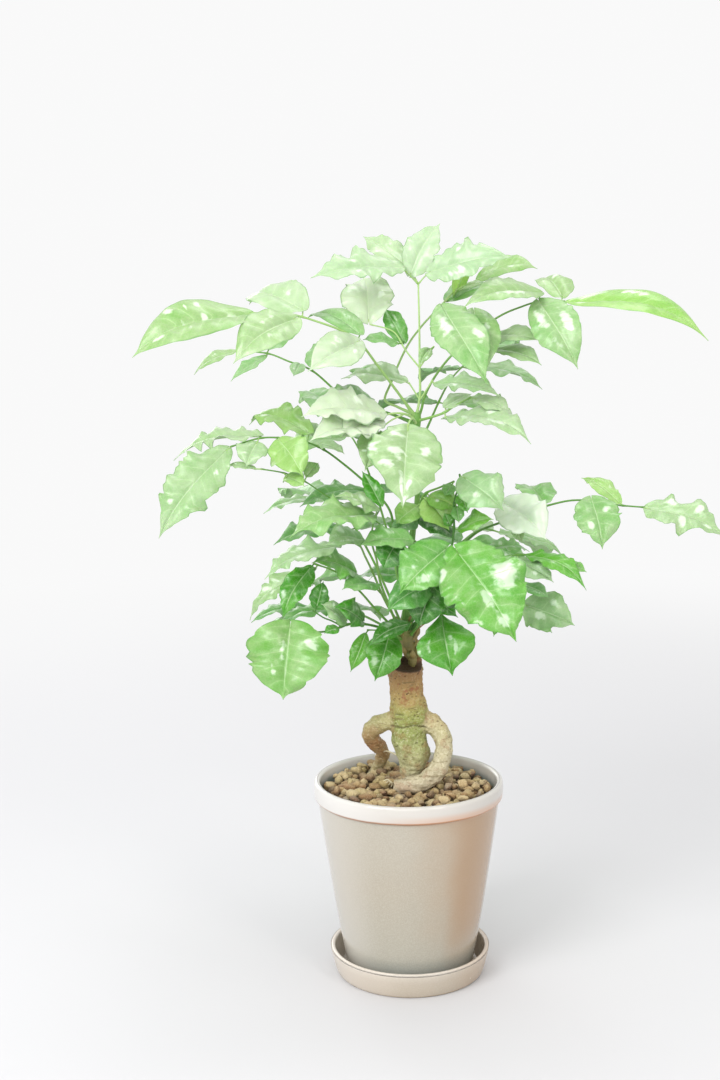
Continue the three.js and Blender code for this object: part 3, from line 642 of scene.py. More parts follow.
def remeshed(mesh, voxel):
    # overlapping closed shells become one skin of small squares
    holder = newObject("loose", mesh)
    melt = holder.modifiers.new("melt", "REMESH")
    melt.mode, melt.voxel_size = "VOXEL", voxel
    bpy.context.view_layer.update()
    whole = bpy.data.meshes.new_from_object(holder.evaluated_get(bpy.context.evaluated_depsgraph_get()))
    bpy.data.objects.remove(holder)
    bpy.data.meshes.remove(mesh)
    return whole


def eased(mesh, points, rounds):
    # each point moves half way to the mean of its neighbours, round after round
    ends = edgeEnds(mesh)
    first, second = ends.T
    degree = np.bincount(ends.ravel(), minlength=len(points))[:, None]
    for _ in range(rounds):
        total = np.stack([np.bincount(first, points[second, axis], len(points))
                          + np.bincount(second, points[first, axis], len(points)) for axis in range(3)], 1)
        points = points + 0.5 * (total / degree - points)
    return points


def distanceTo(points, places, radii):
    # distance from each point to the nearest sample of a thick route, less the route's radius there
    shares = np.linspace(0, 1, 60)
    line = curveThrough(places, shares)
    gaps = np.linalg.norm(points[:, None] - line[None], axis=2) - spread(radii, shares)
    return gaps.min(1)


def cutAbove(points):
    # height of each point over the sloping cut
    return points[:, 2] - (trunkPlan["cutHeight"] + trunkPlan["cutSlopeY"] * points[:, 1]
                           + trunkPlan["cutSlopeX"] * points[:, 0])


def creases(points, width):
    # depth of the belt-like creases on the front: a bell across each crease's sagging line
    total = np.zeros(len(points))
    for height, start, end, depth, sag in trunkPlan["creases"]:
        line = height + 0.5 * np.sin(points[:, 0] * 0.35) + sag * (points[:, 0] - 1) ** 2
        along = smooth(points[:, 0], start - 1, start + 1) * smooth(points[:, 0], end + 1, end - 1)
        total += depth * along * smooth(points[:, 1], 3, -3) * np.exp(-((points[:, 2] - line) / width) ** 2)
    return total


def trunkRows():
    # the trunk's levels are ovals with three low ribs
    heights, left, right = np.array(trunkPlan["levels"], float).T
    fine = np.arange(heights[0], heights[-1], 2.0)
    left, right = np.interp(fine, heights, left), np.interp(fine, heights, right)
    angles = around(40)[None]
    rib = 1 + 0.04 * np.sin(3 * angles + fine[:, None] * 0.12)
    half = ((right - left) / 2)[:, None]
    ribX = np.where(abs(np.cos(angles)) > 0.9, 1, rib)
    x = ((right + left) / 2)[:, None] + half * np.cos(angles) * ribX
    y = half * trunkPlan["depthShare"] * np.sin(angles) * rib
    return np.stack([x, y, fine[:, None] + 0 * x], -1)


def ovalAway(points, middle, half):
    # distance from a middle in the level plane, measured in half widths
    return np.hypot((points[:, 0] - middle[0]) / half[0], (points[:, 1] - middle[1]) / half[1])


def pressCut(points):
    # everything above the sloping cut, apart from the side shoot, is pressed down to a shallow dish
    plan = trunkPlan
    over = cutAbove(points)
    wood = 1 - smooth(ovalAway(points, plan["shoot"], (1, 1)), *plan["shootEdge"])
    depth, *rough = plan["dishRough"]
    dish = -plan["dish"] * smooth(ovalAway(points, plan["dishMiddle"], plan["dishHalf"]), 1.0, 0.45)
    dish = dish + depth * waves(points, *rough)
    points[:, 2] -= smooth(over, -0.6, 0.6) * wood * np.maximum(over - dish, 0)
    return over, wood


def barkLift(points):
    # knobbles, fine wrinkles that run round the wood, and creases on the front; none at the cut's rim
    lift = sum(depth * waves(points, *kind) for depth, *kind in trunkPlan["knobs"])
    depth, *kind = trunkPlan["wrinkles"]
    lift = lift + depth * np.clip(waves(points * np.array([0.25, 0.25, 1.0]), *kind), -2, 0.4)
    lift = lift - creases(points, 0.55)
    return lift * smooth(abs(cutAbove(points)), 0.2, 1.2)


def makeTrunk():
    # trunk, roots and side stub melt into one skin, which is then cut and wrinkled
    plan = trunkPlan
    skin = Skin()
    skin.addRows(trunkRows())
    routes = {name: routeOf(plan[name]) for name in ("leftRoot", "rightRoot", "rootFork")}
    for places, radii in routes.values():
        addRoute(skin, places, radii, 20, 2.0)
    addRoute(skin, np.array(plan["stub"], float), plan["stubRadii"], 12, 2.0)
    mesh = remeshed(skin.mesh("loose"), plan["voxel"])
    points = eased(mesh, pointsOf(mesh), 9)
    over, wood = pressCut(points)
    points = eased(mesh, points, 2)
    mesh.vertices.foreach_set("co", points.ravel())
    mesh.update()
    normals = np.zeros(len(points) * 3)
    mesh.vertices.foreach_get("normal", normals)
    points = points + normals.reshape(-1, 3) * barkLift(points)[:, None]

    cut = smooth(cutAbove(points), -1.1, -0.2) * wood + smooth(over, -0.2, 0.3) * wood
    marks = {"cutFace": np.clip(cut, 0, 1), "crease": np.clip(creases(points, 0.5), 0, 1)}
    outside = smooth(ovalAway(points, (1, 0), plan["oval"]), 0.75, 1.15)
    for name in ("leftRoot", "rightRoot"):
        places, radii = routes[name]
        near = smooth(distanceTo(points, places, radii), 3.0, 0.6) * outside
        low = smooth(distanceTo(points, places[6:], radii[6:]), 1.6, 0.8)
        marks[name] = np.clip(near + low, 0, 1)
    mesh.vertices.foreach_set("co", (points * mm).ravel())
    for name, values in marks.items():
        setMark(mesh, name, values.astype(np.float32))
    mesh.polygons.foreach_set("use_smooth", np.ones(len(mesh.polygons), bool))
    dressed("trunkBark", mesh, barkFinish(), ["trunk"])

    hair = Skin()
    places, radii = routeOf(plan["fibre"])
    addRoute(hair, places, radii * 0.7, 8, 1.0, {"leftRoot": 1.0})
    for turn in range(plan["rootlets"]):        # where the right root dives into the gravel
        start = spot(-12 + 0.8 * turn, 137.5 - 0.5 * turn, -16 + 1.2 * turn)
        end = start + np.array([-5.5 + 0.9 * turn, -3.2 + 1.3 * turn, 2.6 - 1.5 * turn])
        bow = (start + end) / 2 + np.array([0, 0, 1.6])
        addRoute(hair, np.array([start, bow, end]), [0.9, 0.5, 0.25], 6, 0.8, {"rightRoot": 1.0})
    hair.piece("rootHairs", bpy.data.materials["bark"], [], "bark")     # the frame's own plain bark


def barkFinish():
    shader = Shader("bark")
    place = shader.place()
    height = shader.part(place, "Z") / mm
    cloud = shader.noise(place, 55, 4, 0.6)
    fine = shader.noise(place, 420, 3, 0.6)
    ringed = shader.noise(shader.stretched(place, (0.35, 0.35, 1.6)), 210, 4, 0.65)
    bark = ((height - 136) / 88 + (cloud - 0.5) * 0.22).ramp([
        (0.0, "#bcb59a"), (0.22, "#abab7b"), (0.42, "#8c9654"), (0.6, "#8f944e"), (0.72, "#a08a52"),
        (0.86, "#9c7a49"), (1.0, "#845f3c"),
    ])
    upTheRoot = (height - 140) / 60 + (cloud - 0.5) * 0.5
    behind = upTheRoot.ramp([
        (0.0, "#b3a67d"), (0.16, "#b0976b"), (0.36, "#ab7d53"), (0.52, "#a98e61"), (0.66, "#a9a271"),
        (0.9, "#b0aa78"),
    ])
    inFront = upTheRoot.ramp([(0.0, "#b5aa90"), (0.3, "#b7ae8f"), (0.6, "#b2aa82"), (0.9, "#a98d60")])
    scurf = shader.noise(place, 700, 3, 0.7)
    warm = shader.noise(place, 110, 4, 0.65).step(0.53, 0.63)
    pits = shader.cells(shader.stretched(place, (1, 1, 1.7)), 300).step(0.3, 0.12)
    dark = pits * shader.noise(place, 90, 2).step(0.45, 0.62)
    bark = shader.layered(bark, [
        (cloud.step(0.52, 0.7) * 0.5, "#b08d5c"),
        (shader.mark("leftRoot"), behind),
        (shader.mark("rightRoot"), inFront),
        (scurf.step(0.5, 0.68) * (height.step(200, 180) * 0.3 + 0.15), "#ddd6b8"),
        (scurf.step(0.46, 0.32) * 0.4, "#75623c"),
        (warm * (height.step(190, 212) * 0.5 + 0.3), "#8a4f32"),
        (dark * (height.step(192, 200) * 0.5 + 0.45), "#4f3019"),
        (ringed.step(0.58, 0.66) * 0.6, "#6a5a32"),
        # painted shade: dark brown in the grooves of the creases
        (shader.mark("crease") * 0.85, "#3f3018"),
        (shader.mark("cutFace"), shader.mix(shader.noise(place, 300, 4, 0.7), "#2c1c10", "#5b4129")),
    ])
    relief = cloud * 0.4 + fine * 0.6 + scurf * 0.4 + ringed * 0.9 - dark * 0.8
    return shader.finish({
        "Base Color": bark,
        "Roughness": fine * 0.25 + 0.55,
        "Normal": shader.bump(relief, 0.9, 0.8),
    })


makeTrunk()
print("trunk and roots made")

stemPlan = {
    "route": [      # x, z, depth, radius
        (6.5, 219, 5, 4.8), (5, 227, 5, 4.8), (2, 235, 5, 5.2), (-1, 243, 4, 6.2), (-1, 250, 4, 5.6),
        (0, 258, 4, 4), (1, 268, 4, 3), (2.5, 292, 4, 2.4), (5, 320, 4, 2.2), (8, 338, 3, 2),
        (8.3, 366, 1, 1.9), (8, 388, 0, 2.4), (8, 396, 0, 3.4), (8.3, 401, 0, 2.6),
    ],
    "sides": 40, "step": 0.8,
    "scarGap": 6.5,
    "scales": 26, "scaleLow": 228, "scaleHigh": 258,
    "twigs": 9, "twigLow": 236, "twigHigh": 256,
}


def stemAt(height):
    # middle and radius of the main stem at an apparent height
    places, radii = routeOf(stemPlan["route"])
    heights = [row[1] for row in stemPlan["route"]]
    middle = np.array([np.interp(height, heights, places[:, axis]) for axis in range(3)])
    return middle, np.interp(height, heights, radii)


def levelWay(angle):
    return np.array([math.cos(angle), math.sin(angle), 0])


def addBudScales(skin, draw):
    # pointed scales that stand off the stem's knot on all sides
    plan = stemPlan
    for index in range(plan["scales"]):
        middle, radius = stemAt(plan["scaleLow"] + (plan["scaleHigh"] - plan["scaleLow"]) * draw())
        out = levelWay(index * goldenAngle + draw())
        start = middle + out * radius * 0.75
        reach = 4 + 5 * draw()
        end = start + out * reach * (0.25 + 0.5 * draw()) + np.array([0, 0, reach * (0.5 + 0.5 * draw())])
        bow = (start + end) / 2 + out * 1.3
        width = 1.5 + 1.2 * draw()
        marks = {"woody": 0.75 + 0.25 * draw(), "dry": draw()}
        addRoute(skin, np.array([start, bow, end]), [width, width * 0.8, 0.25], 8, 0.8, marks)


def addDryTwigs(skin, draw):
    # dry thread-like twigs round the knot, two of three on the front's right
    plan = stemPlan
    for index in range(plan["twigs"]):
        middle, radius = stemAt(plan["twigLow"] + (plan["twigHigh"] - plan["twigLow"]) * draw())
        out = levelWay(-1.9 + 1.9 * draw() if index % 3 else draw() * 6.28)
        start = middle + out * radius * 0.6
        knee = start + out * (5 + 5 * draw()) + np.array([2 * draw() - 1, 0, 3 + 5 * draw()])
        end = knee + out * (2 + 6 * draw()) + np.array([3 * draw() - 1.5, 0, 8 * draw() - 1])
        marks = {"woody": 0.8, "dry": 0.3 + 0.6 * draw()}
        addRoute(skin, np.array([start, knee, end]), [0.75, 0.5, 0.3], 6, 1.0, marks)


def makeMainStem():
    # a knotty shoot: rings of old leaf scars on the lower part, bud scales round its knot
    plan = stemPlan
    places, radii = routeOf(plan["route"])
    shares = np.linspace(0, 1, int(lengthOf(places) / plan["step"]))
    path = curveThrough(places, shares)
    rows = tubeRows(path, spread(radii, shares), plan["sides"])
    outward = unit(rows - path[:, None])
    flat = rows.reshape(-1, 3)
    knobs = 0.16 * waves(flat, 9, 11) + 0.08 * waves(flat * [1, 1, 2.2], 3.2, 12, 9)
    woody = smooth(rows[..., 2], 265, 244)
    scar = np.exp(-((rows[..., 2] / plan["scarGap"]) % 1 - 0.5) ** 2 / 0.02)
    lift = (knobs.reshape(rows.shape[:2]) * 2.4 + 0.3 * scar) * woody
    rows = rows + outward * lift[..., None]
    skin = Skin()
    skin.addRows(rows, {"woody": smooth(rows[..., 2], 262, 240), "dry": 0.0})
    draw = seededDraw(23)
    addBudScales(skin, draw)
    addDryTwigs(skin, draw)
    skin.piece("stemAndScars", stemFinish(), ["main_stem"], "stem")


def stemFinish():
    shader = Shader("youngStem")
    place = shader.place()
    cloud = shader.noise(place, 90, 4, 0.6)
    fine = shader.noise(shader.stretched(place, (1, 1, 0.25)), 700, 3, 0.6)
    green = shader.mix(cloud, "#3f7426", "#7fae55")
    brown = (cloud * 0.7 + fine * 0.3).ramp([(0.25, "#4a3420"), (0.5, "#7a5f3a"), (0.72, "#9b8351")])
    colour = shader.mix(shader.mark("woody") * 0.8 + cloud * 0.2 - 0.1, green, brown)
    colour = shader.mix(shader.mark("dry") * 0.6, colour, "#b08b5a")
    return shader.finish({
        "Base Color": colour,
        "Roughness": cloud * 0.3 + 0.4,
        "Normal": shader.bump(fine + cloud * 0.5, 0.5, 0.35),
    })


makeMainStem()
print("main stem made")

gravelPlan = {
    "bedTop": 131.8, "soilTop": 126.8,
    "stones": 390, "topStones": 125,
    "small": 2.8, "large": 5.3,         # stone radii
    "cuts": 7,                          # flats that bound one stone
    "nearest": (0.42, 0.92),            # how near they come, as shares of the radius
    "flattest": (1.05, 0.85, 0.65), "fullest": (1.35, 1.1, 0.95),   # shares of the radius in x, y, z
    "trunkFoot": [(2.5, 0, 125), (2.5, 0, 133), (2.5, 0, 140)],     # points
    "trunkFootRadii": [6, 6.5, 7],
}


def ballOf(steps):
    # points and faces of a ball of even triangles
    ball = bpy.data.meshes.new("ball")
    form = bmesh.new()
    bmesh.ops.create_icosphere(form, subdivisions=steps, radius=1)
    form.to_mesh(ball)
    form.free()
    points = pointsOf(ball)
    faces = np.zeros(len(ball.polygons) * 3, int)
    ball.polygons.foreach_get("vertices", faces)
    bpy.data.meshes.remove(ball)
    return points, faces.reshape(-1, 3)


def addBed(skin, edge):
    # a dark gritty disc that fills the pot between the soil and the stones, under painted shade
    plan = gravelPlan
    shares = np.linspace(0.02, 1, 40)[::-1, None]
    angles = around(120)[None]
    x, y = edge * shares * np.cos(angles), edge * shares * np.sin(angles)
    top = np.stack([x, y, 0 * x], -1)
    grit = waves(top.reshape(-1, 3), 4, 31, 11).reshape(x.shape)
    top[..., 2] = plan["bedTop"] + 0.5 * grit - 1.5 * (shares == 1)
    under = top[:1].copy()
    under[..., 2] = plan["soilTop"] + 0.4
    under[..., :2] *= potInside(plan["soilTop"]) / potInside(plan["bedTop"]) * 0.985
    # a stoneRise of -1 gives the bed the stones' full painted underside shade
    skin.addRows(np.concatenate([under, top]), {"stoneTone": 0.06, "stoneRise": -1.0})


def stonePlaces(chance, edge):
    # a full layer and a thinner one on it, each on a sunflower spiral: the nth of N stones stands at
    # radius sqrt(n / N). Stones that would sit in the trunk or in a root are left out.
    plan = gravelPlan
    lower, upper = plan["stones"], plan["topStones"]
    count = lower + upper
    radius = plan["small"] + (plan["large"] - plan["small"]) * chance.random(count) ** 1.3
    order = np.concatenate([np.arange(lower), np.arange(upper)])
    onTop = np.arange(count) >= lower
    reach = (edge - radius * 0.95) * np.sqrt((order + 0.5) / np.where(onTop, upper, lower))
    reach = reach * np.where(onTop, 0.96, 1)
    angle = order * goldenAngle + chance.random(count) * 0.5 + onTop * 1.2
    height = plan["bedTop"] + radius * 0.25 + chance.random(count) * 1.6 + onTop * 3.4
    height += 0.8 * np.cos(angle * 2 + 1)
    centres = np.stack([reach * np.cos(angle), reach * np.sin(angle), height], -1)
    roots = [routeOf(trunkPlan[name]) for name in ("leftRoot", "rightRoot", "rootFork")]
    free = np.ones(count, bool)
    for places, radii in [(plan["trunkFoot"], plan["trunkFootRadii"]), *roots]:
        free &= distanceTo(centres, places, radii) > radius * 0.45
    return centres, radius, np.flatnonzero(free)


def makeGravel():
    # chunky stones: each is a ball cut by flats (its reach in a direction is the least distance to a
    # flat along it), flattened and turned, three in ten of them freely and the rest about Z
    plan = gravelPlan
    skin = Skin()
    edge = potInside(plan["bedTop"]) - 0.8
    addBed(skin, edge)
    chance = np.random.default_rng(8)
    ball, faces = ballOf(2)
    centres, radius, free = stonePlaces(chance, edge)
    for index in free:
        flats = unit(chance.normal(size=(plan["cuts"], 3)))
        far = chance.uniform(*plan["nearest"], plan["cuts"])
        facing = np.maximum(ball @ flats.T, 0.05)
        form = ball * np.minimum(1.0, (far / facing).min(1))[:, None]
        form = form * (1 + 0.09 * waves(form, 0.5, 100 + index, 5))[:, None]
        form = form * chance.uniform(plan["flattest"], plan["fullest"])
        turn, _ = np.linalg.qr(chance.normal(size=(3, 3)))
        turn = turn * np.sign(np.linalg.det(turn))
        turn = turn if chance.random() < 0.3 else np.array(Matrix.Rotation(chance.random() * 6.28, 3, "Z"))
        form = form @ turn.T
        marks = {"stoneTone": chance.random() * 0.84 + 0.12, "stoneRise": form[:, 2]}
        skin.add(form * radius[index] + centres[index], [faces], marks)
    skin.piece("pumiceGravel", gravelFinish(), ["gravel"], "gravel", False)


def gravelFinish():
    shader = Shader("pumice")
    place = shader.place()
    cloud = shader.noise(place, 260, 4, 0.65)
    fine = shader.noise(place, 1300, 3, 0.7)
    tone = (shader.mark("stoneTone") + (cloud - 0.5) * 0.16).ramp([
        (0.03, "#2b2018"), (0.14, "#73593f"), (0.26, "#8f6c47"), (0.42, "#ab8d60"), (0.6, "#c4b086"),
        (0.78, "#a8945f"), (0.9, "#875d42"), (0.98, "#827d6e"),
    ])
    pits = shader.cells(place, 900).step(0.3, 0.12) * cloud.step(0.4, 0.6)
    rise = shader.mark("stoneRise")
    colour = shader.layered(tone, [
        (pits * 0.5, "#5f4329"),
        (fine.step(0.5, 0.72) * 0.5, "#d8c8a4"),
        (fine.step(0.46, 0.3) * 0.5, "#5a4028"),
        # painted light on the stones' tops, which are paler, and painted shade on their undersides, which are
        # darker
        (rise.step(0.2, 0.8) * 0.3, "#d9c9a2"),
        (rise.step(0.45, -0.3) * 0.75, "#35271a"),
    ])
    return shader.finish({
        "Base Color": colour,
        "Roughness": fine * 0.2 + 0.75,
        "Normal": shader.bump(cloud * 1.4 + fine * 0.5 - pits * 0.7, 1.0, 1.1),
    })


def soilFinish():
    shader = Shader("pottingSoil")
    crumbs = shader.noise(shader.place(), 320, 5, 0.7)
    return shader.finish({
        "Base Color": shader.mix(crumbs, "#241a12", "#5a4636"),
        "Roughness": 0.9,
        "Normal": shader.bump(crumbs, 0.9, 1.5),
    })


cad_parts["soil"].material_slots[0].material = soilFinish()
makeGravel()
print("soil and gravel made")

leafForm = {
    "rowStep": 1.35, "rows": (16, 56),          # mm, fewest and most
    "columnStep": 2.9, "columns": (5, 11),      # the same for each half
    "chances": 18,
    "slender": (0.72, 0.35),    # width over length of a stout leaf, and how much less is fully slender
    "fold": 0.16,           # rise of the margins over the midrib, as a share of the half width
    "belly": 0.14,          # how far each half bulges between midrib and margin
    "thickness": 0.44, "ribWidth": 0.75, "ribSunk": 0.18, "ribProud": 0.4,
    "veins": 5.6, "common": 55,     # pairs of side veins at the common length
    "veinRise": 0.2,        # how far a side vein climbs towards the tip, as a share of the length
    "quilt": 0.035,         # depth of the quilting, as a share of the half width
    "crumple": 0.45, "crumples": (13, 19, 27),      # depth and wavelengths, mm
    "lobe": 6.8,            # mm of margin to one lobe
    "heartReach": 0.1,      # how far the base's corners reach back, as a share of the length
    "sway": 0.035, "roll": 0.5,     # most sideways bow as a share of the length, most twist in radians
    "stalkLeast": 4.5, "leafStalk": 0.5, "petiole": (1.0, 0.55),    # least length, radii
    "plain": {"heart": 1.0, "late": 0.86, "gloss": None},
    "back": {"arch": 0.1, "silver": 0.4, "wave": 0.13},
}
